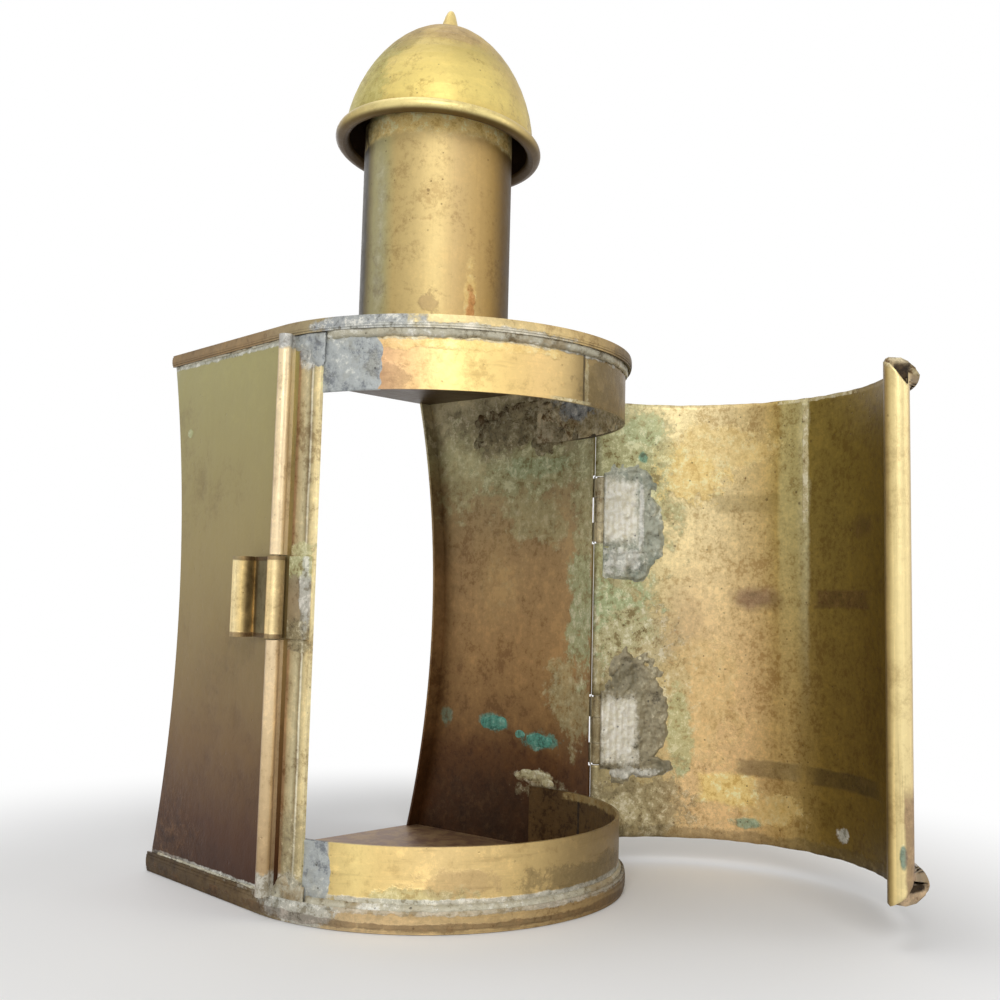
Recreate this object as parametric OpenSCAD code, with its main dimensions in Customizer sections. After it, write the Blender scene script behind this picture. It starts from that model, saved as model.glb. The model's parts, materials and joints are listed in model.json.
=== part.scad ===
// Binnacle lantern of sheet brass. The origin is on the underside of the base, at the centre of the
// rounded front. +Z is up, the bowed door is at -Y and the open back is at +Y.

/* [Body] */
// Outer radius of the two front bands
body_r = 44; // [40:0.5:50]
// Distance from the front's centre back to the body's open edge
body_depth = 52; // [46:1:64]
// How much each side wall leans in towards the back
body_taper = 3; // [0:0.5:5]
// Overall height of the body, from the base to the top plate
body_h = 123; // [110:1:150]
// Thickness of the sheet of the walls and bands
sheet_t = 0.7; // [0.5:0.1:1]
// How far the back edges bow forward at mid height
back_bow = 8.5; // [4:0.5:10]
// Width of the return flange along each back edge
flange_w = 3.2; // [2:0.2:5]

/* [Bands] */
// Top of the lower band
lower_band_top = 16.4; // [10:0.2:24]
// Height of the upper band below the top plate's rim
upper_band_h = 12.6; // [8:0.2:20]
// How far the bands run back inside the side walls
band_lap = 8.8; // [4:0.2:12]

/* [Base and top] */
// Thickness of the floor and of the top sheet
plate_t = 0.9; // [0.6:0.1:1.4]
// Height of the base tray's rim
base_rim_h = 4.4; // [3:0.2:6]
// Height of the top plate's rim
top_rim_h = 2.8; // [2:0.2:4]
// How far the rims stand out beyond the walls
rim_out = 0.8; // [0.6:0.1:1.6]

/* [Chimney and cap] */
// Outer radius of the chimney
chimney_r = 18.2; // [15:0.2:20]
// Height of the chimney above the top plate
chimney_h = 57; // [45:1:75]
// Distance of the chimney's centre behind the front's centre
chimney_y = 4.1; // [0:0.1:8]
// Outer radius of the dome at its foot
dome_r = 23.3; // [22:0.1:26]
// Height of the dome
dome_h = 30.8; // [26:0.2:36]
// Height of the dome's foot above the top plate
dome_lift = 54.2; // [42:0.2:72]
// Radius of the wire inside the cap's rolled rim, with its sheet
rim_wire_r = 1.7; // [1.2:0.1:2.2]
// How much the cap has settled to the right, in degrees
cap_tilt = 4.4; // [0:0.2:6]
// Height of the finial
finial_h = 5.6; // [4:0.2:8]
// Radius of the finial's foot
finial_r = 3.1; // [2.4:0.1:4]
// Width of each of the three straps under the cap
strap_w = 5; // [3:0.5:7]
// How far the straps reach down inside the chimney
strap_reach = 16; // [8:1:30]

/* [Door] */
// Clearance between the shut door and the bands
door_gap = 1; // [0.9:0.1:1.4]
// Thickness of the door's sheet
door_t = 0.6; // [0.5:0.1:0.8]
// Height of the door's lower edge above the base
door_lift = 6.2; // [5.2:0.1:8]
// Height of the door
door_h = 110.8; // [90:0.2:111]
// How far the door stands open at rest, in degrees
door_open = 80.5; // [30:0.5:95]
// Radius of the roll along the door's free edge
roll_r = 2.6; // [2:0.1:3]
// Length of the roll's tail over the door's outer face
roll_tail = 8.5; // [5:0.5:12]

/* [Hinges] */
// Radius of the hinge pins
pin_r = 0.65; // [0.5:0.05:0.75]
// Running clearance round the hinge pins and the latch pin
pin_gap = 0.05; // [0.02:0.01:0.1]
// Outer radius of the hinge knuckles
knuckle_r = 1.4; // [1.3:0.05:1.5]
// Width of a hinge leaf
leaf_w = 7.8; // [5:0.2:10]
// Height of a hinge leaf
leaf_h = 16.4; // [12:0.2:20]
// Thickness of a hinge leaf
leaf_t = 0.6; // [0.5:0.1:0.7]
// Foot of the lower hinge above the base
lower_hinge_z = 24.6; // [18:0.2:40]
// Foot of the upper hinge above the base
upper_hinge_z = 80.6; // [60:0.2:90]

/* [Latch] */
// Width of the post at the left of the opening
post_w = 6.4; // [5:0.2:8]
// Radius of the rolled rail beside the post
rail_r = 1.45; // [1.2:0.05:1.6]
// Outer radius of the hasp's knuckle
hasp_knuckle_r = 1.85; // [1.7:0.05:2]
// Radius of the pin that the hasp swings on
latch_pin_r = 0.9; // [0.7:0.05:1]
// Radius of the hasp's rolled thumb piece
thumb_r = 2.35; // [2:0.05:2.6]
// Distance from the hasp's pin to its thumb piece
hasp_reach = 11; // [9:0.2:12]
// Height of the hasp
hasp_h = 17; // [12:0.5:22]
// Foot of the hasp above the base
hasp_z = 56.2; // [40:0.2:70]

/* [Hidden] */
$fn = 96;

far = 400;
play = 0.3;
// How far a cut runs past what it cuts
over = 1;
// How far touching solids of one piece run into each other
lap = 0.02;
brass = "darkgoldenrod";
pale_brass = "goldenrod";
solder_grey = "darkgray";

// Heights that several pieces share
wall_top = body_h - plate_t;
rim_under = body_h - top_rim_h;
upper_band_foot = rim_under - upper_band_h;
chimney_top = body_h + chimney_h;
dome_foot = body_h + dome_lift;

// The wall lies on the bands, and the rims lie round the wall
wall_out = sheet_t;
wall_r = body_r + wall_out;

// A rim is a stack of steps whose reach follows a curve, and the flat sheet ends at its narrowest step
rim_steps = 6;
rim_round = 0.72;
plate_reach = wall_out + rim_out * sqrt(1 - rim_round);

// Solder in the front seams, and round the chimney's foot
base_solder_rise = 0.3;
top_solder_drop = 1.6;
chimney_solder_w = 1;

// How far a return flange runs into its wall
flange_root = 0.2;

// The hinge axis lies just outside the right wall's front edge
knuckle_seat = 0.2;
hinge_r = wall_r + knuckle_seat + knuckle_r;
hinge_turn = -16;
hinge_x = hinge_r * cos(hinge_turn);
hinge_y = hinge_r * sin(hinge_turn);
wall_edge = 0.8;

// Angles round the front's centre between the hinge axis and what starts beside it
wall_leaf_turn = 3.4;
door_leaf_turn = 3.2;
door_arm_turn = 0.4;
door_edge_turn = 0.5;
arm_lap = 0.1;

// Hinge knuckles as shares of the leaf's height, and the pins' heads
knuckle_share = 0.3;
knuckle_gap = 0.1;
pin_head_h = 0.4;
pin_head_out = 0.35;

// The shut door's sheet
door_in = body_r + door_gap;
door_out = door_in + door_t;
roll_turn = -162.2;
roll_centre_r = door_in + roll_r;
tail_r = 0.9;
// Wall of the roll, with the solder that lines it
roll_wall = 0.8;
roll_below = 0.2;
roll_above = 0.2;

// The latch axis lies just outside the left wall's front edge
rail_y = -2;
rail_x = -(wall_r + play + hasp_knuckle_r);
post_front = -10.3;
post_back = post_front + post_w;
hasp_bore_r = latch_pin_r + pin_gap;
hasp_gap = 0.4;
neck_w = 1.2;
neck_root = 0.2;
pin_inset = 1;

// Powers that make the dome's profile slightly pointed, and the angle between its points
side_power = 1.09;
crown_power = 1.11;
dome_step = 6;
rim_seat = 0.4;
finial_sink = 1;

// Body outline, moved out by a distance: a half disc in front and a trapezoid behind
module outline(out) {
    intersection() {
        circle(r = body_r + out);
        translate([-far, -far]) square([2 * far, far]);
    }
    front = body_r + out;
    back = body_r + out - body_taper;
    polygon([[-front, 0], [front, 0], [back, body_depth], [-back, body_depth]]);
}

// Sheet between two distances from the outline, over a height, open at the back
module shell(from, to, foot, top) {
    translate([0, 0, foot]) linear_extrude(top - foot) difference() {
        outline(to);
        outline(from);
        translate([-(body_r - body_taper + from), body_depth - over])
            square([2 * (body_r - body_taper + from), 2 * over]);
    }
}

// Keeps what lies on one side of the body between two places along Y
module side_part(side, y_from, y_to) {
    intersection() {
        children();
        translate([side > 0 ? 0 : -far, y_from, 0]) cube([far, y_to - y_from, far]);
    }
}

// Half round edge of a rim, as steps of sheet whose reach follows a circle
module rounded_rim(foot, height) {
    step_h = height / rim_steps;
    for (i = [0 : rim_steps - 1]) {
        rise = (2 * i + 1) / rim_steps - 1;
        reach = wall_out + rim_out * sqrt(1 - rim_round * rise * rise);
        shell(wall_out, reach, foot + step_h * i, foot + step_h * (i + 1) + (i < rim_steps - 1 ? lap : 0));
    }
}

module base_tray() color(brass) {
    linear_extrude(plate_t) outline(plate_reach);
    rounded_rim(plate_t / 2, base_rim_h - plate_t / 2);
}

module top_plate() color(pale_brass) {
    difference() {
        union() {
            translate([0, 0, wall_top]) linear_extrude(plate_t) outline(plate_reach);
            rounded_rim(rim_under, top_rim_h);
        }
        translate([0, chimney_y, wall_top - over]) cylinder(r = chimney_r, h = plate_t + 2 * over);
    }
}

// Solder between a band and the rim outside it, along the front only
module front_solder(foot, top) {
    intersection() {
        translate([0, 0, foot]) linear_extrude(top - foot) difference() {
            circle(r = body_r + wall_out);
            circle(r = body_r);
            translate([-far, post_front]) square([2 * far, far]);
        }
        translate([-far, -far, 0]) cube([2 * far, far + hinge_y - play, far]);
    }
}

module base_solder() color(solder_grey) front_solder(plate_t, base_rim_h + base_solder_rise);

module top_solder() color(solder_grey) front_solder(rim_under - top_solder_drop, wall_top);

// Big cylinder that gives both back edges their bow
module back_cutter(grow) {
    half = body_h / 2;
    bow_r = (half * half + back_bow * back_bow) / (2 * back_bow);
    translate([-far, body_depth - back_bow + bow_r, half])
        rotate([0, 90, 0]) cylinder(r = bow_r + grow, h = 2 * far, $fn = 240);
}

module side_wall(side, y_front) {
    difference() {
        side_part(side, y_front, body_depth) shell(0, wall_out, plate_t, wall_top);
        back_cutter(0);
    }
    // Return flange along the bowed edge
    inner = body_r - body_taper - flange_w;
    intersection() {
        translate([side > 0 ? inner : -body_r, body_depth - 2 * back_bow, plate_t])
            cube([body_r - inner, 3 * back_bow, wall_top - plate_t]);
        linear_extrude(body_h) outline(flange_root);
        difference() {
            back_cutter(sheet_t);
            back_cutter(0);
        }
    }
}

module left_wall() color(brass) side_wall(-1, post_back);

// Room for the knuckles and the pins' heads, at both hinges
module hinge_notches() {
    room = pin_head_h + play;
    for (z = [lower_hinge_z, upper_hinge_z])
        translate([hinge_x, hinge_y, z - room])
            cylinder(r = knuckle_r + leaf_t + play, h = leaf_h + 2 * room);
}

module right_wall() color(brass) difference() {
    side_wall(1, hinge_y + wall_edge);
    hinge_notches();
}

module band(foot, top) {
    intersection() {
        shell(-sheet_t, 0, foot, top);
        translate([-far, -far, 0]) cube([2 * far, far + band_lap, far]);
    }
}

module upper_band() color(pale_brass) band(upper_band_foot, wall_top);

module lower_band() color(pale_brass) band(plate_t, lower_band_top);

module latch_post() color(brass)
    side_part(-1, post_front, post_back) shell(0, wall_out, plate_t, wall_top);

// Rolled edge beside the post, cut away where the hasp swings
module latch_rail() color(pale_brass) {
    gap_foot = hasp_z - play;
    gap_top = hasp_z + hasp_h + play;
    for (span = [[base_rim_h, gap_foot], [gap_top, rim_under]]) {
        difference() {
            translate([rail_x, rail_y, span[0]]) cylinder(r = rail_r, h = span[1] - span[0]);
            translate([rail_x, rail_y, span[0] - over])
                cylinder(r = latch_pin_r, h = span[1] - span[0] + 2 * over);
        }
        // Neck between the roll and the wall
        translate([0, 0, span[0]]) linear_extrude(span[1] - span[0]) difference() {
            translate([rail_x + latch_pin_r + neck_root, rail_y - neck_w / 2])
                square([-rail_x - wall_r + over, neck_w]);
            circle(r = wall_r);
        }
    }
}

module latch_pin() color(pale_brass)
    translate([rail_x, rail_y, base_rim_h + pin_inset])
        cylinder(r = latch_pin_r, h = rim_under - base_rim_h - 2 * pin_inset);

// Flat plate on the post, beside the hasp's knuckle
module latch_plate() color(pale_brass)
    intersection() {
        translate([0, 0, hasp_z]) linear_extrude(hasp_h) difference() {
            circle(r = wall_r + leaf_t);
            circle(r = wall_r);
        }
        translate([-far, post_front + play, 0]) cube([far, post_w - 2 * play, far]);
    }

// Knuckle, short leaf and rolled thumb piece, lying back along the left wall
module latch_hasp() color(pale_brass) {
    thumb_x = -(wall_r + hasp_gap + thumb_r);
    leaf_x = -(wall_r + hasp_gap + sheet_t);
    translate([0, 0, hasp_z]) difference() {
        union() {
            translate([rail_x, rail_y, 0]) cylinder(r = hasp_knuckle_r, h = hasp_h);
            translate([leaf_x, rail_y, 0]) cube([sheet_t, hasp_reach, hasp_h]);
            translate([thumb_x, rail_y + hasp_reach, 0]) cylinder(r = thumb_r, h = hasp_h);
        }
        translate([rail_x, rail_y, -over]) cylinder(r = hasp_bore_r, h = hasp_h + 2 * over);
        translate([thumb_x, rail_y + hasp_reach, -over])
            cylinder(r = thumb_r - sheet_t, h = hasp_h + 2 * over);
    }
}

module chimney_tube() color(brass)
    translate([0, chimney_y, wall_top]) difference() {
        cylinder(r = chimney_r, h = chimney_top - wall_top);
        translate([0, 0, -over]) cylinder(r = chimney_r - sheet_t, h = chimney_top - wall_top + 2 * over);
    }

module chimney_solder() color(solder_grey)
    translate([0, chimney_y, body_h]) rotate_extrude()
        polygon([[chimney_r, 0], [chimney_r + chimney_solder_w, 0], [chimney_r, chimney_solder_w]]);

// Profile of the dome: a slightly pointed quarter ellipse
function dome_point(r, h, a) = [r * pow(cos(a), side_power), h * pow(sin(a), crown_power)];

module dome_solid(r, h, sink) {
    curve = [for (a = [0 : dome_step : 90 - dome_step]) dome_point(r, h, a)];
    rotate_extrude() polygon(concat([[0, -sink], [r, -sink]], curve, [[0, h]]));
}

module cap_place() {
    translate([0, chimney_y, dome_foot]) rotate([0, cap_tilt, 0]) children();
}

module cap_dome() color(pale_brass)
    cap_place() difference() {
        dome_solid(dome_r, dome_h, rim_wire_r / 2);
        translate([0, 0, -lap]) dome_solid(dome_r - sheet_t, dome_h - sheet_t, rim_wire_r);
    }

module cap_rim() color(pale_brass)
    cap_place() difference() {
        translate([0, 0, -rim_wire_r / 2]) rotate_extrude()
            translate([dome_r + rim_seat, 0]) circle(r = rim_wire_r, $fn = 32);
        translate([0, 0, -rim_wire_r / 2]) cylinder(r = dome_r, h = 3 * rim_wire_r);
    }

// Small turned knob, seated on the dome's crown
module cap_finial() color(pale_brass) {
    neck_r = finial_r / 2;
    foot_top = finial_h / 8;
    shoulder = finial_h / 2;
    tip_r = neck_r / 3;
    cap_place() difference() {
        translate([0, 0, dome_h]) rotate_extrude() polygon([
            [0, -finial_sink], [finial_r, -finial_sink], [finial_r, 0], [neck_r + foot_top, foot_top],
            [neck_r, 2 * foot_top], [neck_r, shoulder], [2 * tip_r, finial_h - foot_top], [tip_r, finial_h],
            [0, finial_h]]);
        dome_solid(dome_r, dome_h, rim_wire_r);
    }
}

// Three straps that rise inside the chimney and carry the dome
module cap_straps() color(brass)
    intersection() {
        translate([0, chimney_y, 0]) for (turn = [90, 210, 330]) rotate(turn) intersection() {
            translate([0, -strap_w / 2, chimney_top - strap_reach]) cube([chimney_r, strap_w, far]);
            difference() {
                cylinder(r = chimney_r - sheet_t, h = far);
                translate([0, 0, -over]) cylinder(r = chimney_r - 2 * sheet_t, h = far + 2 * over);
            }
        }
        cap_place() translate([0, 0, -lap]) union() {
            dome_solid(dome_r - sheet_t, dome_h - sheet_t, rim_wire_r);
            translate([0, 0, -far]) cylinder(r = dome_r - sheet_t, h = far);
        }
    }

// Turns what is drawn for the shut door to where the door stands open
module door_place() {
    translate([hinge_x, hinge_y, 0]) rotate(door_open) translate([-hinge_x, -hinge_y, 0]) children();
}

// Ring sector of the shut door, between two radii and two turns about the front's centre
module sector(r_in, r_out, turn_from, turn_to) {
    span = turn_from - turn_to;
    mid = turn_to + span / 2;
    difference() {
        circle(r = r_out);
        circle(r = r_in);
        rotate(mid + 180) polygon(concat([[0, 0]], [for (i = [-4 : 4]) let (a = i * (180 - span / 2) / 4)
            2 * r_out * [cos(a), sin(a)]]));
    }
}

module door_panel() color(pale_brass)
    door_place() difference() {
        translate([0, 0, door_lift]) linear_extrude(door_h)
            sector(door_in, door_out, hinge_turn + door_edge_turn, roll_turn);
        hinge_notches();
    }

// Two upright rods and a filling between them, whose flat sides start just inside the rods
module teardrop(big_at, big_r, small_at, small_r, height) {
    reach = small_at - big_at;
    heading = atan2(reach[1], reach[0]);
    lean = acos((big_r - small_r) / norm(reach));
    ends = [[big_at, big_r, 1], [small_at, small_r, 1], [small_at, small_r, -1], [big_at, big_r, -1]];
    translate(big_at) cylinder(r = big_r, h = height);
    translate(small_at) cylinder(r = small_r, h = height);
    linear_extrude(height) polygon([for (end = ends)
        let (a = heading + end[2] * lean) end[0] + (end[1] - lap) * [cos(a), sin(a)]]);
}

// Edge roll: a hollow round nose with a folded tail that lies on the door's outer face
module door_edge_roll() color(pale_brass) {
    nose = roll_centre_r * [cos(roll_turn), sin(roll_turn)];
    tail_turn = roll_turn + roll_tail / door_out * 180 / PI;
    tail = (door_out + tail_r) * [cos(tail_turn), sin(tail_turn)];
    height = door_h + roll_below + roll_above;
    door_place() translate([0, 0, door_lift - roll_below]) difference() {
        teardrop(nose, roll_r, tail, tail_r, height);
        translate([nose[0], nose[1], -over]) cylinder(r = roll_r - roll_wall, h = height + 2 * over);
        translate([0, 0, -over]) cylinder(r = door_out + lap, h = height + 2 * over, $fn = 360);
    }
}

// Knuckles of one hinge, as spans of its height
module knuckles(spans) {
    for (span = spans)
        translate([hinge_x, hinge_y, span[0]]) cylinder(r = knuckle_r, h = span[1] - span[0]);
}

module pin_bore(z) {
    translate([hinge_x, hinge_y, z - over]) cylinder(r = pin_r + pin_gap, h = leaf_h + 2 * over);
}

// A leaf's arms reach its own knuckles only
module leaf_arms(r_in, turn_from, turn_to, spans) {
    for (span = spans)
        translate([0, 0, span[0]]) linear_extrude(span[1] - span[0])
            sector(r_in, r_in + leaf_t, turn_from, turn_to);
}

function outer_spans(z) = let (part = leaf_h * knuckle_share)
    [[z, z + part], [z + leaf_h - part, z + leaf_h]];
function middle_span(z) = let (part = leaf_h * knuckle_share + knuckle_gap)
    [[z + part, z + leaf_h - part]];

module wall_leaf(z) color(brass) {
    start = hinge_turn + wall_leaf_turn;
    stop = start + leaf_w / wall_r * 180 / PI;
    difference() {
        union() {
            translate([0, 0, z]) linear_extrude(leaf_h) sector(wall_r, wall_r + leaf_t, stop, start);
            leaf_arms(wall_r, start + arm_lap, hinge_turn, outer_spans(z));
            knuckles(outer_spans(z));
        }
        pin_bore(z);
    }
}

module door_leaf(z) color(brass) {
    start = hinge_turn - door_leaf_turn;
    stop = start - leaf_w / door_in * 180 / PI;
    door_place() difference() {
        union() {
            translate([0, 0, z]) linear_extrude(leaf_h) sector(door_in - leaf_t, door_in, start, stop);
            leaf_arms(door_in - leaf_t, hinge_turn - door_arm_turn, start - arm_lap, middle_span(z));
            knuckles(middle_span(z));
        }
        pin_bore(z);
    }
}

module hinge_pin(z) color(pale_brass) {
    translate([hinge_x, hinge_y, z]) cylinder(r = pin_r, h = leaf_h);
    for (end = [z - pin_head_h, z + leaf_h])
        translate([hinge_x, hinge_y, end]) cylinder(r = pin_r + pin_head_out, h = pin_head_h);
}

module upper_wall_leaf() wall_leaf(upper_hinge_z);
module upper_door_leaf() door_leaf(upper_hinge_z);
module upper_hinge_pin() hinge_pin(upper_hinge_z);
module lower_wall_leaf() wall_leaf(lower_hinge_z);
module lower_door_leaf() door_leaf(lower_hinge_z);
module lower_hinge_pin() hinge_pin(lower_hinge_z);

base_tray();
base_solder();
top_plate();
top_solder();
left_wall();
right_wall();
upper_band();
lower_band();
latch_post();
latch_rail();
latch_pin();
latch_plate();
latch_hasp();
chimney_tube();
chimney_solder();
cap_straps();
cap_dome();
cap_rim();
cap_finial();
door_panel();
door_edge_roll();
upper_wall_leaf();
upper_door_leaf();
upper_hinge_pin();
lower_wall_leaf();
lower_door_leaf();
lower_hinge_pin();
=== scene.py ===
import json
import math
import bpy
from mathutils import Matrix, Vector, noise


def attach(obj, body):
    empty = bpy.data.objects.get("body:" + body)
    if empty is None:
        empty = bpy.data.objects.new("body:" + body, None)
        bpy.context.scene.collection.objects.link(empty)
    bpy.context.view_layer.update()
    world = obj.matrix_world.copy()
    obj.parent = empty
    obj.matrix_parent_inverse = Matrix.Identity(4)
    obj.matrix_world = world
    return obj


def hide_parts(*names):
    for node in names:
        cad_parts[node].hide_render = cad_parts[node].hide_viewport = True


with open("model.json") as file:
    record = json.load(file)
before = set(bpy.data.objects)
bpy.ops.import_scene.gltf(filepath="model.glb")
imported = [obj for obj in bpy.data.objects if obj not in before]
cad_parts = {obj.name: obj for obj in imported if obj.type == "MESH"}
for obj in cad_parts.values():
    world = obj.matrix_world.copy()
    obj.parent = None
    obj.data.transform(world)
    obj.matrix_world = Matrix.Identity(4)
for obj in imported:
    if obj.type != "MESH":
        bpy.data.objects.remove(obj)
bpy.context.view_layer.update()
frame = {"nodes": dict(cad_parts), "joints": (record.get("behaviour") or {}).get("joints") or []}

mm = 0.001
nodes = frame["nodes"]
joints = {joint["name"]: joint for joint in frame["joints"]}
print("frame loaded")


# A socket that can stand in a Python expression
class Value:
    def __init__(self, graph, socket):
        self.graph = graph
        self.socket = socket

    def maths(self, operation, *terms):
        return self.graph.node("ShaderNodeMath", {"operation": operation}, dict(enumerate(terms)))

    def __add__(self, other):
        return self.maths("ADD", self, other)

    def __sub__(self, other):
        return self.maths("SUBTRACT", self, other)

    def __rsub__(self, other):
        return self.maths("SUBTRACT", other, self)

    def __mul__(self, other):
        return self.maths("MULTIPLY", self, other)

    def __truediv__(self, other):
        return self.maths("DIVIDE", self, other)

    def __pow__(self, other):
        return self.maths("POWER", self, other)

    def size(self):
        return self.maths("ABSOLUTE", self)

    def most(self, other):
        return self.maths("MAXIMUM", self, other)

    __radd__ = __add__
    __rmul__ = __mul__


class Graph:
    def __init__(self, tree):
        self.tree = tree
        tree.nodes.clear()

    # A node, its settings first, then the values or links of its sockets
    def node(self, kind, settings=None, sockets=None, out=0):
        made = self.tree.nodes.new(kind)
        for name, setting in (settings or {}).items():
            if name == "stops":
                while len(made.color_ramp.elements) < len(setting):
                    made.color_ramp.elements.new(1)
                for element, (position, colour) in zip(made.color_ramp.elements, setting):
                    element.position = position
                    element.color = colour
            else:
                setattr(made, name, setting)
        for name, given in (sockets or {}).items():
            if isinstance(given, Value):
                self.tree.links.new(given.socket, made.inputs[name])
            else:
                made.inputs[name].default_value = given
        return Value(self, made.outputs[out]) if made.outputs else None

    def place(self):
        return self.node("ShaderNodeTexCoord", out="Object")

    def along(self, axis):
        return self.node("ShaderNodeSeparateXYZ", {}, {0: self.place()}, out=axis) / mm

    def facing(self, axis):
        normal = self.node("ShaderNodeTexCoord", out="Normal")
        return self.node("ShaderNodeSeparateXYZ", {}, {0: normal}, out=axis)

    # Millimetres round an upright axis, from its front, or along the walls
    def unrolled(self, unroll):
        if unroll is None:
            return self.along("Y")
        x, y = unroll["about"]
        turn = (self.along("X") - x).maths("ARCTAN2", self.along("X") - x, y - self.along("Y"))
        start = math.radians(unroll.get("zero", 0))
        return (turn - start) * (unroll["radius"] * unroll.get("way", 1))

    # 1 on the side of a shell that faces an upright axis
    def inside(self, x, y):
        outward = (self.along("X") - x) * self.facing("X") + (self.along("Y") - y) * self.facing("Y")
        return 1 - self.step(outward, -3, 3)

    # Noise whose largest spots are about this many millimetres
    def spots(self, size, detail=4, roughness=0.6, stretch=(1, 1, 1), seed=0, warp=0):
        place = self.node("ShaderNodeMapping", {},
                          {"Vector": self.place(), "Scale": stretch, "Location": (seed, seed * 0.7, seed * 1.3)})
        return self.node("ShaderNodeTexNoise", {},
                         {"Vector": place, "Scale": 0.6 / (size * mm), "Detail": detail, "Roughness": roughness,
                          "Distortion": warp})

    # Round dots, one in some of the cells
    def dots(self, size, radius, share, seed=0):
        cells = self.node("ShaderNodeMapping", {}, {"Vector": self.place(), "Location": (seed, seed, seed)})
        sockets = {"Vector": cells, "Scale": 1 / (size * mm)}
        away = self.node("ShaderNodeTexVoronoi", {}, sockets, out="Distance")
        tint = self.node("ShaderNodeTexVoronoi", {}, sockets, out="Color")
        chance = self.node("ShaderNodeSeparateColor", {}, {0: tint}, out=0)
        return (1 - self.step(away, radius / size * 0.5, radius / size)) * self.step(chance, 1 - share, 1.02 - share)

    def step(self, value, low, high):
        return self.node("ShaderNodeMapRange", {"interpolation_type": "SMOOTHSTEP"},
                         {"Value": value, "From Min": low, "From Max": high})

    # Colours at places along a value, in screen values
    def ramp(self, value, stops):
        low, high = stops[0][0], stops[-1][0]
        share = (value - low) / (high - low)
        return self.node("ShaderNodeValToRGB", {
            "stops": [((at - low) / (high - low), tone(*colour)) for at, colour in stops]}, {"Fac": share})

    def mix(self, mask, under, over, blend="MIX"):
        return self.node("ShaderNodeMix", {"data_type": "RGBA", "blend_type": blend}, {0: mask, 6: under, 7: over},
                         out=2)

    def bump(self, height, strength, distance=0.4):
        return self.node("ShaderNodeBump", {}, {"Strength": strength, "Distance": distance * mm, "Height": height})


def tone(red, green, blue):
    def linear(level):
        level /= 255
        return level / 12.92 if level <= 0.04045 else ((level + 0.055) / 1.055) ** 2.4
    return (linear(red), linear(green), linear(blue), 1)


# What lies on old brass, also used below for some painted shade, highlights and reflections: dark, middle and light
# tones, in screen values
deposits = {
    "verdigris": ((142, 128, 82), (190, 188, 140), (228, 226, 182)),
    "mint": ((150, 148, 104), (184, 196, 150), (228, 230, 192)),
    "turquoise": ((62, 104, 92), (92, 158, 140), (146, 190, 172)),
    "solder": ((112, 118, 124), (166, 172, 176), (224, 224, 218)),
    "paleSolder": ((140, 138, 124), (196, 196, 186), (238, 236, 226)),
    "chalk": ((140, 118, 78), (206, 192, 148), (236, 228, 198)),
    "crust": ((74, 64, 48), (142, 130, 98), (210, 200, 168)),
    "soot": ((22, 18, 14), (46, 36, 26), (78, 62, 42)),
    "umber": ((46, 30, 18), (80, 54, 32), (116, 84, 54)),
    "mauve": ((110, 84, 66), (142, 112, 88), (166, 134, 104)),
    "rust": ((118, 54, 22), (172, 92, 38), (208, 140, 74)),
    "grime": ((60, 50, 34), (92, 80, 54), (130, 114, 80)),
    "olive": ((78, 64, 26), (106, 90, 40), (138, 120, 62)),
    "honey": ((222, 184, 104), (248, 218, 142), (254, 242, 184)),
    "cream": ((190, 180, 154), (238, 232, 208), (255, 252, 240)),
    "moss": ((112, 104, 52), (152, 148, 84), (182, 178, 116)),
    "tan": ((150, 120, 72), (184, 154, 98), (208, 184, 128)),
    "sea": ((96, 118, 104), (124, 146, 130), (170, 186, 166)),
    "gold": ((196, 160, 92), (226, 196, 128), (244, 224, 164)),
}


brighter = (1.7, 1.65, 1.6, 1)


# Ragged mask round a place on the unrolled surface
def stainMask(g, u, z, stain, fine):
    across = (u - stain["u"]) / stain["w"]
    level = (z - stain["z"] - (u - stain["u"]) * stain.get("tilt", 0)) / stain["h"]
    if stain.get("square"):
        reach = across.size().most(level.size())
    else:
        reach = (across * across + level * level) ** 0.5
    rough = g.spots(stain.get("grain", 5), 5, 0.7, seed=stain["z"] * 0.01) - 0.5
    edge = (1 - reach) + rough * (2.6 * stain.get("ragged", 0.5)) + (fine - 0.5) * stain.get("ragged", 0.5)
    soft = stain.get("soft", 0.3)
    return g.step(edge, -soft * 0.3, soft) * stain.get("amount", 0.8)
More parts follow.
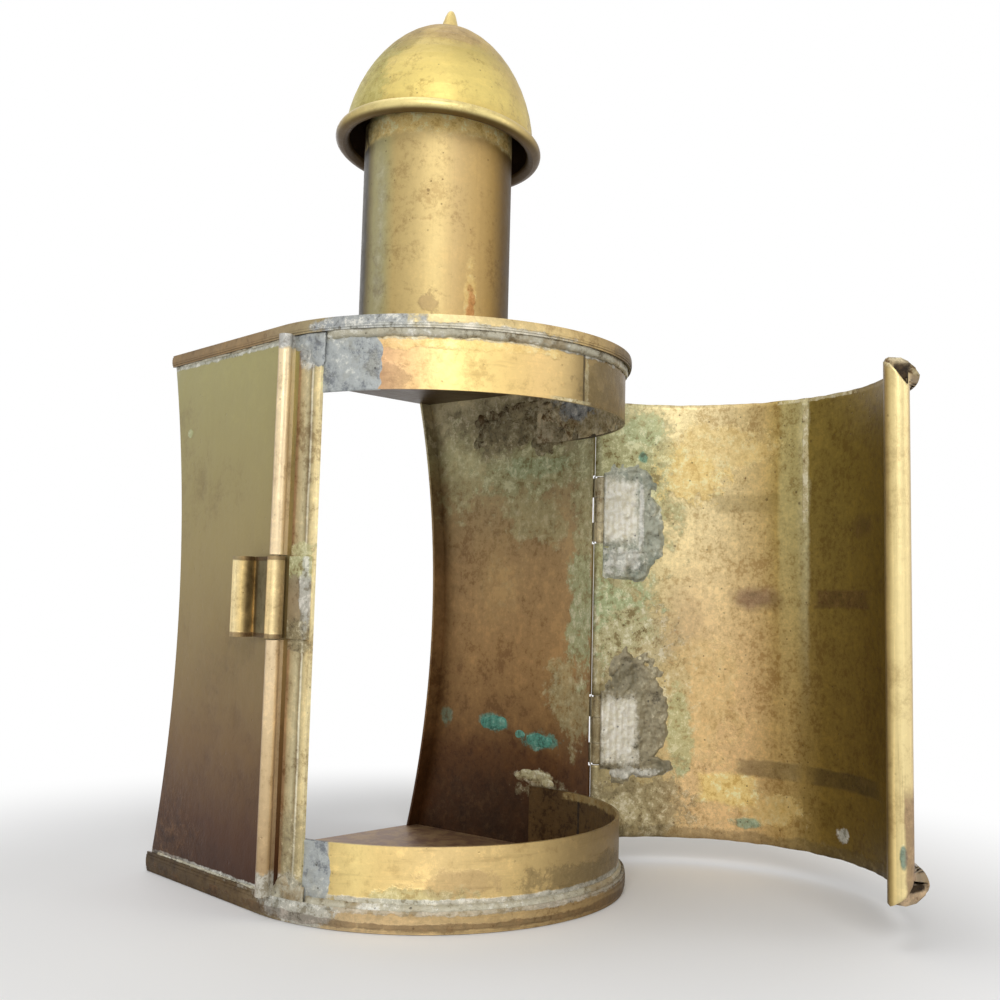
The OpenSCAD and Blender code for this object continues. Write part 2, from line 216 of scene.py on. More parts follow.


# Colour, share of dull deposit and height of one side of a sheet; faces that point down get painted shade
def paint(g, u, z, look, noises):
    cloud, mottle, grain, fine, lines = noises
    tones = look["tones"]
    wobble = (cloud - 0.5) * look.get("wobble", 4) + (mottle - 0.5) * look.get("wobble", 4) * 0.6
    value = (u if look.get("along", "z") == "u" else z) + wobble
    colour = g.ramp(value, tones)
    if "low" in look:
        colour = g.mix(g.step(z, look.get("lowFrom", 5), look.get("lowTo", 110)), g.ramp(value, look["low"]), colour)
    shade = (cloud - 0.5) * look.get("clouded", 1) + (mottle - 0.5) * look.get("mottled", 0.6) * 1.4
    shade = shade + (grain - 0.5) * look.get("grained", 0.4) * 2
    colour = g.mix(g.step(shade, 0, -0.35) * look.get("dark", 0.5), colour, tone(*look.get("speck", (150, 122, 86))),
                   "MULTIPLY")
    colour = g.mix(g.step(shade, 0.02, 0.35) * look.get("light", 0.35), colour, brighter, "MULTIPLY")
    brushed = look.get("brushed", 0.2)
    colour = g.mix(g.step(lines, 0.54, 0.72) * brushed, colour, brighter, "MULTIPLY")
    colour = g.mix(g.step(lines, 0.46, 0.3) * brushed, colour, tone(120, 92, 58), "MULTIPLY")
    dull = None
    for stain in look.get("stains", []):
        mask = stainMask(g, u, z, stain, fine)
        dark, middle, light = [tone(*shades) for shades in deposits[stain["of"]]]
        heap = g.mix(g.step(fine, 0.4, 0.48), dark, middle)
        heap = g.mix(g.step(fine, 0.52, 0.6), heap, light)
        colour = g.mix(mask, colour, heap)
        crusty = mask * stain.get("crusty", 0.6)
        dull = crusty if dull is None else dull.most(crusty)
    if "floorTone" in look:
        level = g.step(g.facing("Z"), 0.6, 0.9) * g.step(z, 3, 2)
        colour = g.mix(level, colour, g.mix(g.step(mottle, 0.4, 0.6), tone(*look["floorTone"]), tone(150, 122, 88)))
    # Painted shade: faces that point down are darkened towards the look's underside shade tone, by its 'under' share
    under = g.step(g.facing("Z"), -0.25, -0.8) * look.get("under", 0)
    colour = g.mix(under, colour, tone(*look.get("undersideShadeTone", (70, 52, 30))))
    return colour, dull if dull is not None else mottle * 0


# Aged brass sheet, with its own look on the side that faces the inside
def agedBrass(name, look):
    material = bpy.data.materials.new(name)
    material.use_nodes = True
    g = Graph(material.node_tree)
    u = g.unrolled(look.get("unroll"))
    z = g.along("Z")
    seed = look.get("seed", 0) * 0.37
    cloud = g.spots(look.get("cloud", 14), 4, 0.6, seed=seed)
    mottle = g.spots(look.get("mottle", 3), 5, 0.72, seed=seed + 3)
    grain = g.spots(look.get("grain", 0.8), 4, 0.8, seed=seed + 5)
    fine = g.spots(1.6, 6, 0.8, seed=seed + 6)
    lines = g.spots(look.get("lineSize", 1.4), 4, 0.7, look.get("brush", (1, 1, 0.05)), seed + 7)
    noises = (cloud, mottle, grain, fine, lines)
    colour, dull = paint(g, u, z, look, noises)
    if "inner" in look:
        inner = g.inside(*look.get("centre", (0, 0)))
        innerColour, innerDull = paint(g, u, z, look["inner"], noises)
        colour = g.mix(inner, colour, innerColour)
        dull = dull * (1 - inner) + innerDull.most(look["inner"].get("dull", 0.3)) * inner
    pits = g.dots(look.get("pitCell", 2.2), look.get("pitSize", 0.28), look.get("pitShare", 0.25), seed)
    pits = pits.most(g.dots(look.get("pitCell", 2.2) * 2.6, look.get("pitSize", 0.28) * 1.6, 0.2, seed + 1))
    colour = g.mix(pits * look.get("pits", 0.5), colour, tone(74, 50, 28))
    roughness = mottle * look.get("roughSpread", 0.3) + (look.get("rough", 0.42) - 0.15) + dull * 0.25
    height = cloud * look.get("dents", 2) + mottle * 0.5 + grain * 0.12 - pits * 0.3 + dull * (fine * 2 + 0.4)
    shader = g.node("ShaderNodeBsdfPrincipled", {}, {
        "Base Color": colour, "Metallic": (1 - dull * 0.9) * look.get("metal", 0.45), "Roughness": roughness,
        "Specular IOR Level": 0.18, "Normal": g.bump(height, look.get("bump", 0.5))}, out="BSDF")
    g.node("ShaderNodeOutputMaterial", {}, {"Surface": shader})
    return material


# Dull tin and lead solder with bloom and stains
def oldSolder(name, look):
    material = bpy.data.materials.new(name)
    material.use_nodes = True
    g = Graph(material.node_tree)
    seed = look.get("seed", 0)
    cloud = g.spots(look.get("cloud", 5), 5, 0.75, seed=seed)
    fine = g.spots(1.1, 5, 0.85, seed=seed + 2)
    spread = cloud * 0.6 + fine * 0.4
    colour = g.mix(g.step(spread, 0.38, 0.5), tone(*look["tones"][0]), tone(*look["tones"][1]))
    colour = g.mix(g.step(spread, 0.52, 0.64), colour, tone(*look["tones"][2]))
    stain = g.step(g.spots(6, 5, 0.75, seed=seed + 4), 0.5, 0.64) * look.get("stained", 0.5)
    colour = g.mix(stain, colour, tone(*look.get("stain", (104, 118, 100))))
    u = g.unrolled(look.get("unroll"))
    for spot in look.get("stains", []):
        heap = g.mix(g.step(fine, 0.4, 0.6), tone(*deposits[spot["of"]][1]), tone(*deposits[spot["of"]][2]))
        colour = g.mix(stainMask(g, u, g.along("Z"), spot, fine), colour, heap)
    pits = g.dots(1.6, 0.3, 0.3, seed)
    colour = g.mix(pits * 0.6, colour, tone(52, 48, 40))
    shader = g.node("ShaderNodeBsdfPrincipled", {}, {
        "Base Color": colour, "Metallic": (1 - stain) * look.get("metal", 0.25),
        "Roughness": cloud * 0.3 + 0.35, "Specular IOR Level": 0.4,
        "Normal": g.bump(cloud + fine * 0.8 - pits * 0.5, 0.9)}, out="BSDF")
    g.node("ShaderNodeOutputMaterial", {}, {"Surface": shader})
    return material


# Stage

studio = {
    "azimuth": -46.96, "elevation": -5.84, "roll": 1.22,     # how the camera looks at the lantern, in degrees
    "place": (-191.5, -212.3, 65.1), "lens": 43.0, "shift": (-0.0422, -0.0214),
    "floorSize": 8.0, "floorNear": 0.09, "floorFar": 0.2, "floorWhite": 0.9, "worldLevel": 0.42,
    "lamps": {
        "keyLamp": ((-0.8, -0.8, 0.75), (0, -0.02, 0.09), 0.9, 8.5),
        "sideLamp": ((0.5, -1.0, 0.4), (0.03, -0.04, 0.08), 0.6, 1.4),
        "topLamp": ((-0.1, 0.2, 1.1), (0, 0, 0.1), 0.7, 1.6),
        "backLamp": ((0.3, 1.0, 0.5), (0, 0, 0.1), 0.8, 1.6),
    },
}


def makeCamera():
    azimuth, elevation, roll = [math.radians(studio[key]) for key in ("azimuth", "elevation", "roll")]
    back = Vector((math.sin(azimuth) * math.cos(elevation), -math.cos(azimuth) * math.cos(elevation),
                   math.sin(elevation)))
    side = (-back).cross(Vector((0, 0, 1))).normalized()
    rise = back.cross(side)
    right = side * math.cos(roll) + rise * math.sin(roll)
    up = rise * math.cos(roll) - side * math.sin(roll)
    data = bpy.data.cameras.new("camera")
    data.lens = studio["lens"]
    data.sensor_width = 36
    data.shift_x, data.shift_y = studio["shift"]
    data.clip_start = 0.01
    data.clip_end = 50
    camera = bpy.data.objects.new("camera", data)
    camera.matrix_world = Matrix((right, up, back)).transposed().to_4x4()
    camera.location = [c * mm for c in studio["place"]]
    bpy.context.scene.collection.objects.link(camera)
    bpy.context.scene.camera = camera


def seenDirectly(g):
    rays = g.node("ShaderNodeLightPath", out="Is Camera Ray")
    for kind in ("Is Glossy Ray", "Is Transmission Ray"):
        rays = rays.most(g.node("ShaderNodeLightPath", out=kind))
    return rays


def makeWorld():
    world = bpy.data.worlds.new("studio")
    bpy.context.scene.world = world
    world.use_nodes = True
    g = Graph(world.node_tree)
    level = seenDirectly(g) * (1 - studio["worldLevel"]) + studio["worldLevel"]
    sky = g.node("ShaderNodeBackground", {}, {"Color": (1, 1, 1, 1), "Strength": level})
    g.node("ShaderNodeOutputWorld", {}, {"Surface": sky})


def makeFloor():
    half = studio["floorSize"] / 2
    mesh = bpy.data.meshes.new("floor")
    mesh.from_pydata([(-half, -half, 0), (half, -half, 0), (half, half, 0), (-half, half, 0)], [], [(0, 1, 2, 3)])
    floor = bpy.data.objects.new("floor", mesh)
    floor.location.z = -0.1 * mm
    bpy.context.scene.collection.objects.link(floor)
    material = bpy.data.materials.new("floorPaper")
    material.use_nodes = True
    g = Graph(material.node_tree)
    reach = g.node("ShaderNodeVectorMath", {"operation": "LENGTH"}, {0: g.place()}, out="Value")
    far = g.step(reach, studio["floorNear"], studio["floorFar"]) * seenDirectly(g)
    white = studio["floorWhite"]
    paper = g.node("ShaderNodeBsdfDiffuse", {}, {"Color": (white, white, white, 1)})
    glow = g.node("ShaderNodeEmission", {}, {"Color": (1, 1, 1, 1), "Strength": 1})
    surface = g.node("ShaderNodeMixShader", {}, {0: far, 1: paper, 2: glow})
    g.node("ShaderNodeOutputMaterial", {}, {"Surface": surface})
    mesh.materials.append(material)


def areaLamp(name, place, aim, size, power):
    data = bpy.data.lights.new(name, "AREA")
    data.shape = "DISK"
    data.size = size
    data.energy = power
    lamp = bpy.data.objects.new(name, data)
    lamp.location = place
    lamp.rotation_euler = (Vector(aim) - Vector(place)).to_track_quat("-Z", "Y").to_euler()
    bpy.context.scene.collection.objects.link(lamp)


makeCamera()
makeWorld()
makeFloor()
for name, (place, aim, size, power) in studio["lamps"].items():
    areaLamp(name, place, aim, size, power)
bpy.context.scene.view_settings.view_transform = "Standard"
print("stage ready")


# Mesh helpers

def finishPiece(name, points, faces, material, body, replaced=(), smooth=True):
    mesh = bpy.data.meshes.new(name)
    mesh.from_pydata([tuple(point) for point in points], [], faces)
    mesh.validate()
    mesh.update()
    if smooth:
        mesh.polygons.foreach_set("use_smooth", [True] * len(mesh.polygons))
    piece = bpy.data.objects.new(name, mesh)
    bpy.context.scene.collection.objects.link(piece)
    mesh.materials.append(material)
    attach(piece, body)
    if replaced:
        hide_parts(*replaced)
    return piece


# Faces of a grid of points, row by row
def gridFaces(rows, columns, roundRows=False, roundColumns=False):
    faces = []
    for i in range(rows if roundRows else rows - 1):
        for j in range(columns if roundColumns else columns - 1):
            nextRow = (i + 1) % rows
            nextColumn = (j + 1) % columns
            faces.append((i * columns + j, i * columns + nextColumn, nextRow * columns + nextColumn,
                          nextRow * columns + j))
    return faces


# Level of smooth noise at a place, from about -1 to 1
def lump(a, b, size, seed=0):
    return noise.noise(Vector((a / size + seed * 7.3, b / size + seed * 3.1, seed * 5.7)))


def smooth(value, low, high):
    share = max(0, min(1, (value - low) / (high - low)))
    return share * share * (3 - 2 * share)


# Closed slab of deposit on a surface: only the cells where it stands above the surface
def depositPiece(name, surface, area, heightAt, material, body, root=0.25):
    uLow, uHigh, zLow, zHigh, pitch = area
    columns = int((uHigh - uLow) / pitch) + 1
    rows = int((zHigh - zLow) / pitch) + 1
    spots = [(uLow + pitch * j, zLow + pitch * i) for i in range(rows) for j in range(columns)]
    heights = [max(heightAt(u, z), -root * 0.8) for u, z in spots]
    kept = [face for face in gridFaces(rows, columns) if max(heights[k] for k in face) > -0.04]
    used = sorted({k for face in kept for k in face})
    index = {k: i for i, k in enumerate(used)}
    points = [surface(*spots[k], heights[k]) for k in used] + [surface(*spots[k], -root) for k in used]
    count = len(used)
    faces = []
    edges = {}
    for face in kept:
        top = [index[k] for k in face]
        faces.append(tuple(top))
        faces.append(tuple(i + count for i in reversed(top)))
        for a, b in zip(top, top[1:] + top[:1]):
            edges[(a, b)] = (b, a) in edges or edges.pop((b, a), None) is not None
    rim = [(a, b) for face in kept for a, b in zip([index[k] for k in face], [index[k] for k in face[1:] + face[:1]])]
    pairs = set(rim)
    for a, b in rim:
        if (b, a) not in pairs:
            faces.append((b, a, a + count, b + count))
    return finishPiece(name, points, faces, material, body)


# Lumpy height over some ellipses: (u, z, half width, half height)
def lumpyHeight(shapes, thick, ragged=0.25, lumps=0.6, seed=1, slope=5, lumpSize=2.2):
    def heightAt(u, z):
        reach = max(1 - math.hypot((u - cu) / w, (z - cz) / h) for cu, cz, w, h in shapes)
        reach += ragged * lump(u, z, 3.2, seed) + ragged * 0.5 * lump(u, z, 1.3, seed + 1)
        body = max(-1, min(1, reach * slope))
        level = 0.75 + lumps * lump(u, z, lumpSize, seed + 2) + lumps * 0.5 * lump(u, z, lumpSize * 0.4, seed + 3)
        return thick * body * max(0.25, level) if body > 0 else body * 0.2
    return heightAt


# Ridge with a lumpy section, swept along places that each have an outward direction
def seamPiece(name, path, section, material, body, slotName, replaced=(), rough=0.25, seed=3):
    points = []
    count = len(section)
    for i, (place, outward) in enumerate(path):
        for k, (out, up, free) in enumerate(section):
            swell = 1 + free * rough * (lump(i * 0.9, k * 0.7, 2.0, seed) + 0.6 * lump(i * 0.9, k, 0.7, seed + 1)) * 2
            points.append(place + outward * (out * swell * mm) + Vector((0, 0, up * swell * mm)))
    faces = gridFaces(len(path), count, roundColumns=True)
    faces.append(tuple(reversed(range(count))))
    faces.append(tuple(range(len(points) - count, len(points))))
    return finishPiece(name, points, faces, material, body, replaced)


# The body's plan, in millimetres
plan = {"radius": 44.0, "sheet": 0.7, "depth": 52.0, "taper": 3.0, "railUnder": 120.2, "baseRim": 4.4}


# Place and outward direction on the plan, this far outside the bands; u runs round the front, in millimetres
def onPlan(u, out, z):
    quarter = plan["radius"] * math.pi / 2
    if abs(u) <= quarter:
        angle = u / plan["radius"]
        outward = Vector((math.sin(angle), -math.cos(angle), 0))
        return outward * ((plan["radius"] + out) * mm) + Vector((0, 0, z * mm)), outward
    past = abs(u) - quarter
    side = math.copysign(1, u)
    outward = Vector((side, 0, 0))
    x = side * (plan["radius"] + out - plan["taper"] * past / plan["depth"])
    return Vector((x, past, z)) * mm, outward


# Finishes

wallOutside = {
    # Darker towards the foot: the wall's own olive and brown tones, with a painted reflection gradient from light at
    # the top to dark at the foot
    "tones": [(2, (66, 38, 24)), (14, (82, 52, 32)), (32, (116, 90, 56)), (56, (142, 122, 80)),
              (78, (152, 136, 90)), (119, (160, 152, 102))],
    "wobble": 14, "clouded": 1.2, "mottled": 0.5, "grained": 0.25, "dark": 0.35, "light": 0.12, "brushed": 0.02,
}
wallInside = {
    "tones": [(2, (66, 40, 20)), (12, (84, 52, 26)), (24, (104, 70, 38)), (34, (142, 108, 66)), (50, (170, 134, 86)),
              (76, (178, 146, 100)), (95, (178, 156, 112)), (106, (196, 186, 142)), (119, (206, 194, 154))],
    "wobble": 16, "mottled": 1.3, "grained": 0.6, "dark": 0.5, "light": 0.35, "brushed": 0.08, "dull": 0.25,
}
caseLooks = {
    "left_wall": {
        **wallOutside, "cloud": 26, "pits": 0.15, "rough": 0.36, "dents": 3, "seed": 1, "inner": wallInside,
        "stains": [
            {"u": 24, "z": 120, "w": 40, "h": 1.1, "of": "paleSolder", "ragged": 0.5, "grain": 2, "square": True},
            {"u": 24, "z": 4.6, "w": 40, "h": 0.8, "of": "paleSolder", "ragged": 0.6, "grain": 2, "square": True},
            # Painted reflection: a soft grey-white band down the back edge, where the wall turns
            {"u": 53, "z": 70, "w": 4, "h": 60, "of": "solder", "amount": 0.3, "soft": 1, "square": True},
            {"u": 44, "z": 4, "w": 18, "h": 22, "of": "umber", "amount": 0.6, "soft": 1},
            {"u": 20, "z": 52, "w": 20, "h": 14, "of": "umber", "amount": 0.16, "soft": 1, "ragged": 0.8},
            {"u": 42, "z": 103, "w": 1.4, "h": 1, "of": "mint", "amount": 0.5},
        ],
    },
    "right_wall": {
        **wallOutside, "cloud": 18, "pits": 0.25, "rough": 0.42, "dents": 2, "seed": 2,
        "inner": {**wallInside, "stains": [
            # Painted shade: a dark band down the back edge, where the wall folds
            {"u": 46, "z": 60, "w": 12, "h": 60, "of": "umber", "amount": 0.45, "soft": 1, "ragged": 0.7},
            {"u": 22, "z": 8, "w": 34, "h": 17, "of": "soot", "amount": 0.5, "soft": 1, "ragged": 0.7},
            {"u": 14, "z": 114, "w": 40, "h": 13, "of": "crust", "amount": 0.85, "ragged": 0.9, "soft": 0.6},
            {"u": 8, "z": 113, "w": 16, "h": 5, "of": "chalk", "amount": 0.55, "ragged": 1.2, "grain": 2.4},
            {"u": 12, "z": 101, "w": 22, "h": 7, "of": "verdigris", "amount": 0.8, "ragged": 1.1},
            {"u": 10, "z": 101.5, "w": 13, "h": 3, "of": "mint", "amount": 0.7, "ragged": 1.2, "grain": 3},
            {"u": 36, "z": 102, "w": 9, "h": 14, "of": "verdigris", "amount": 0.4, "ragged": 1.3, "grain": 3},
            {"u": 10, "z": 89, "w": 14, "h": 8, "of": "verdigris", "amount": 0.45, "ragged": 1.3, "grain": 7},
            {"u": -8, "z": 64, "w": 6, "h": 18, "of": "mint", "amount": 0.7, "ragged": 1.0, "grain": 4},
            {"u": -9, "z": 92, "w": 5, "h": 22, "of": "verdigris", "amount": 0.6, "ragged": 1.2, "grain": 3},
            {"u": -4, "z": 40, "w": 8, "h": 12, "of": "verdigris", "amount": 0.4, "ragged": 1.3, "grain": 4},
            {"u": 22, "z": 73, "w": 9, "h": 14, "of": "gold", "amount": 0.16, "ragged": 0.9, "soft": 1},
            {"u": 22.6, "z": 31.9, "w": 5.4, "h": 2.4, "of": "turquoise", "ragged": 0.5, "grain": 2.5, "tilt": 0.1},
            {"u": 5.5, "z": 28.2, "w": 6.4, "h": 2.6, "of": "turquoise", "amount": 0.75, "ragged": 0.8,
             "grain": 2.5},
            {"u": 40.5, "z": 32.3, "w": 2.4, "h": 3.2, "of": "turquoise", "amount": 0.35, "ragged": 0.9},
            {"u": 7, "z": 18.8, "w": 7, "h": 1.8, "of": "chalk", "ragged": 0.8, "grain": 2.5},
            {"u": 2, "z": 15, "w": 12, "h": 3, "of": "crust", "amount": 0.6, "ragged": 1.1, "grain": 2.5},
        ]},
    },
    "latch_post": {
        "unroll": {"about": (0, 0), "radius": 44.7}, "along": "u",
        # Painted shade in the groove at the left, near -67 mm, and painted highlights: the thin white line at -62 mm
        # on an unmodelled fold, and the bright right edge
        "tones": [(-67, (150, 120, 86)), (-65.7, (168, 138, 102)), (-65.2, (188, 172, 134)), (-63.4, (200, 188, 150)),
                  (-62.4, (150, 134, 98)), (-62.0, (236, 230, 204)), (-61.6, (186, 170, 128)),
                  (-60.6, (232, 212, 158)), (-59.6, (238, 222, 172))],
        "wobble": 0.5, "mottled": 0.9, "grained": 0.6, "dark": 0.6, "light": 0.4, "brushed": 0.3, "pits": 0.5,
        "rough": 0.42, "seed": 3, "cloud": 9,
        "stains": [
            {"u": -61, "z": 117, "w": 6, "h": 5, "of": "solder", "ragged": 0.7},
            {"u": -62, "z": 5, "w": 7, "h": 4, "of": "paleSolder", "ragged": 0.8},
            {"u": -62, "z": 14, "w": 5, "h": 10, "of": "crust", "amount": 0.5, "ragged": 1.0},
            {"u": -63, "z": 74.6, "w": 4, "h": 1.6, "of": "verdigris", "amount": 0.7, "ragged": 0.9, "grain": 2},
            {"u": -63, "z": 55, "w": 4, "h": 1.6, "of": "crust", "amount": 0.7, "ragged": 0.9, "grain": 2},
        ],
    },
    "latch_rail": {
        "tones": [(4, (176, 148, 110)), (30, (210, 184, 142)), (60, (230, 206, 166)), (120, (230, 210, 170))],
        "wobble": 16, "mottled": 0.7, "grained": 0.4, "dark": 0.5, "light": 0.4, "brushed": 0.35,
        "brush": (1, 1, 0.02), "pits": 0.3, "rough": 0.34, "metal": 0.5, "seed": 4,
        "stains": [
            {"u": -2, "z": 119, "w": 4, "h": 2, "of": "solder", "ragged": 0.8},
            {"u": -2, "z": 6, "w": 4, "h": 3, "of": "paleSolder", "ragged": 0.8},
            # Painted shade: a dull stripe down the rail's shaded right side
            {"u": -1.2, "z": 62, "w": 0.8, "h": 70, "of": "mauve", "amount": 0.4, "square": True, "ragged": 0.3},
        ],
    },
    "latch_plate": {
        "tones": [(56, (150, 136, 104)), (64, (160, 142, 112)), (74, (146, 142, 116))], "wobble": 4,
        "mottled": 1, "grained": 0.6, "pits": 0.5, "rough": 0.46, "metal": 0.4, "seed": 5, "brushed": 0.1,
        "stains": [
            {"u": -7, "z": 72, "w": 5, "h": 4, "of": "verdigris", "amount": 0.8, "ragged": 1.0, "grain": 3},
            {"u": -9, "z": 64, "w": 1.4, "h": 12, "of": "paleSolder", "amount": 0.7, "ragged": 0.8, "grain": 2},
            {"u": -7, "z": 58, "w": 5, "h": 2.4, "of": "crust", "amount": 0.7, "ragged": 1.0, "grain": 2},
        ],
    },
    "latch_hasp": {
        "along": "u",
        # Painted highlights on the knuckle near -3 mm and on the thumb near 8.6 mm; painted shade in the gap near
        # -0.3 mm and beside the thumb
        "tones": [(-4, (130, 104, 64)), (-3.3, (246, 222, 166)), (-2, (240, 212, 154)), (-0.8, (196, 164, 110)),
                  (-0.3, (92, 78, 54)), (0.6, (128, 118, 90)), (5.6, (132, 122, 94)), (6.6, (100, 82, 50)),
                  (7.2, (220, 192, 130)), (8.6, (250, 230, 176)), (9.8, (236, 210, 146)), (11.4, (168, 138, 84))],
        "wobble": 0.5, "mottle": 2, "mottled": 0.8, "grained": 0.5, "dark": 0.45, "light": 0.4, "brushed": 0.3,
        "pits": 0.4, "pitCell": 1.4, "pitSize": 0.24, "rough": 0.4, "metal": 0.45, "seed": 6,
        "stains": [
            {"u": 4, "z": 73, "w": 12, "h": 0.8, "of": "umber", "amount": 0.7, "square": True, "ragged": 0.4},
            {"u": 4, "z": 56.4, "w": 12, "h": 0.8, "of": "umber", "amount": 0.7, "square": True, "ragged": 0.4},
        ],
    },
    "upper_band": {
        "unroll": {"about": (0, 0), "radius": 44.0}, "along": "u",
        # Beyond the grey solder at the left end: a painted highlight near -30 mm, fading to painted shade towards the
        # right
        "tones": [(-66, (164, 166, 160)), (-48, (186, 182, 170)), (-46.4, (190, 166, 136)), (-45.6, (224, 180, 136)),
                  (-38, (232, 196, 138)), (-30, (246, 220, 144)), (-20, (240, 208, 136)), (-12, (222, 190, 128)),
                  (-3, (186, 160, 108)), (1, (150, 128, 84)), (14, (142, 120, 78)), (32, (112, 92, 58)),
                  (70, (104, 86, 56))],
        "wobble": 2, "cloud": 10, "mottle": 2.6, "mottled": 0.7, "grained": 0.35, "dark": 0.4, "light": 0.3,
        "brush": (0.08, 0.08, 1), "brushed": 0.22, "pits": 0.25, "rough": 0.4, "metal": 0.5, "seed": 7,
        "stains": [
            {"u": -56, "z": 113, "w": 9.6, "h": 12, "of": "solder", "amount": 0.95, "ragged": 0.12, "soft": 0.1,
             "square": True},
            {"u": -44, "z": 110, "w": 5, "h": 4, "of": "mauve", "amount": 0.35, "ragged": 1.0, "grain": 3},
            {"u": -20, "z": 119.2, "w": 34, "h": 1.2, "of": "paleSolder", "amount": 0.85, "ragged": 0.7,
             "grain": 2.4, "square": True},
            {"u": -30, "z": 117.6, "w": 26, "h": 1.6, "of": "honey", "amount": 0.4, "ragged": 1.0},
            {"u": 1.4, "z": 113, "w": 0.35, "h": 7, "of": "soot", "amount": 0.7, "ragged": 0.3, "square": True},
            {"u": -2, "z": 107.9, "w": 7, "h": 0.5, "of": "chalk", "ragged": 0.4, "square": True},
            {"u": 2.4, "z": 112, "w": 0.8, "h": 6, "of": "chalk", "amount": 0.5, "ragged": 0.8, "grain": 2},
            {"u": 12, "z": 112, "w": 12, "h": 7, "of": "grime", "amount": 0.4, "ragged": 1.2},
        ],
        "inner": {
            "along": "u", "dull": 0.6, "wobble": 8, "mottled": 1.6, "grained": 1.0, "dark": 0.8, "light": 0.5,
            "tones": [(-70, (170, 146, 104)), (0, (170, 152, 116)), (30, (190, 178, 146)), (70, (190, 178, 146))],
            "stains": [
                {"u": 50, "z": 112, "w": 26, "h": 12, "of": "crust", "amount": 0.9, "ragged": 0.9, "grain": 3},
                {"u": 40, "z": 112, "w": 16, "h": 5, "of": "chalk", "amount": 0.6, "ragged": 1.3, "grain": 2.2},
                {"u": 60, "z": 117, "w": 12, "h": 3, "of": "solder", "amount": 0.8, "ragged": 1.0, "grain": 3},
                {"u": 56, "z": 108, "w": 8, "h": 2.4, "of": "soot", "amount": 0.8, "ragged": 0.8, "grain": 3},
            ],
        },
    },
    "lower_band": {
        "unroll": {"about": (0, 0), "radius": 44.0}, "along": "u",
        # Beyond the grey solder at the left end: a painted highlight near -47 mm, fading to painted shade towards the
        # right
        "tones": [(-66, (136, 144, 150)), (-54.4, (150, 152, 150)), (-53.6, (216, 190, 126)),
                  (-47, (248, 222, 150)), (-42, (244, 214, 144)), (-30, (238, 208, 146)), (-14, (206, 178, 120)),
                  (0, (166, 142, 96)), (16, (146, 124, 84)), (32, (116, 98, 66)), (70, (100, 82, 54))],
        "wobble": 3, "cloud": 9, "mottle": 2.6, "mottled": 0.7, "grained": 0.4, "dark": 0.3, "light": 0.35,
        "brush": (0.1, 0.1, 1), "brushed": 0.24, "pits": 0.2, "rough": 0.4, "metal": 0.5, "seed": 8,
        "stains": [
            {"u": -60, "z": 11, "w": 7.2, "h": 9, "of": "solder", "amount": 0.95, "ragged": 0.12, "soft": 0.1,
             "square": True},
            {"u": -34, "z": 7, "w": 11, "h": 1.8, "of": "verdigris", "amount": 0.6, "ragged": 0.9, "grain": 3},
            {"u": -26, "z": 9, "w": 9, "h": 3, "of": "mauve", "amount": 0.3, "ragged": 0.9, "grain": 4},
            {"u": -10, "z": 5.6, "w": 60, "h": 0.9, "of": "paleSolder", "amount": 0.8, "ragged": 0.6,
             "grain": 2.2, "square": True},
            {"u": 6, "z": 8, "w": 22, "h": 3, "of": "grime", "amount": 0.5, "ragged": 1.2},
        ],
        "inner": {
            "along": "u", "dull": 0.5, "wobble": 8, "mottled": 1.4, "grained": 0.9, "dark": 0.8, "light": 0.3,
            "tones": [(-70, (120, 92, 52)), (30, (116, 90, 46)), (50, (96, 74, 38)), (70, (88, 66, 36))],
            "stains": [
                {"u": 60, "z": 12, "w": 0.5, "h": 12, "of": "soot", "amount": 0.9, "square": True, "ragged": 0.2},
                {"u": 46, "z": 16, "w": 22, "h": 1.6, "of": "gold", "amount": 0.4, "ragged": 0.9, "square": True},
            ],
        },
    },
    "base_tray": {
        "unroll": {"about": (0, 0), "radius": 45.0}, "along": "u",
        # Painted highlight near -50 mm round the front, fading to painted shade towards both sides
        "tones": [(-120, (72, 56, 36)), (-80, (104, 84, 54)), (-66, (140, 124, 96)), (-50, (196, 172, 132)),
                  (-24, (190, 164, 118)), (0, (160, 134, 90)), (20, (120, 98, 62)), (34, (92, 74, 46)),
                  (120, (84, 66, 42))],
        "wobble": 8, "cloud": 10, "mottled": 1.0, "grained": 0.7, "dark": 0.6, "light": 0.35,
        # Painted shade: 'under' darkens the faces that point down
        "brush": (0.1, 0.1, 1), "pits": 0.5, "rough": 0.46, "metal": 0.4, "seed": 9, "under": 0.7,
        "undersideShadeTone": (88, 70, 44), "floorTone": (118, 88, 66),
        "stains": [
            {"u": -61, "z": 2.5, "w": 9, "h": 4, "of": "paleSolder", "amount": 0.8, "ragged": 1.0, "grain": 3},
            {"u": -20, "z": 4.2, "w": 60, "h": 0.8, "of": "paleSolder", "amount": 0.5, "ragged": 1.0, "grain": 2},
            {"u": -10, "z": 1.4, "w": 80, "h": 0.9, "of": "umber", "amount": 0.5, "ragged": 1.0, "square": True},
        ],
    },
    "top_plate": {
        "unroll": {"about": (0, 0), "radius": 45.0}, "along": "u",
        # Painted highlight near -46 mm round the front, fading to painted shade towards both sides
        "tones": [(-120, (128, 104, 70)), (-84, (150, 124, 86)), (-66, (160, 144, 110)), (-46, (212, 196, 148)),
                  (-20, (210, 188, 136)), (0, (190, 164, 112)), (16, (150, 124, 80)), (32, (104, 84, 52)),
                  (120, (96, 76, 48))],
        "wobble": 8, "cloud": 10, "mottled": 0.9, "grained": 0.6, "dark": 0.5, "light": 0.35,
        # Painted shade: 'under' darkens the faces that point down
        "brush": (0.1, 0.1, 1), "pits": 0.4, "rough": 0.42, "metal": 0.45, "seed": 10, "under": 0.6,
        "undersideShadeTone": (70, 52, 32),
        "stains": [
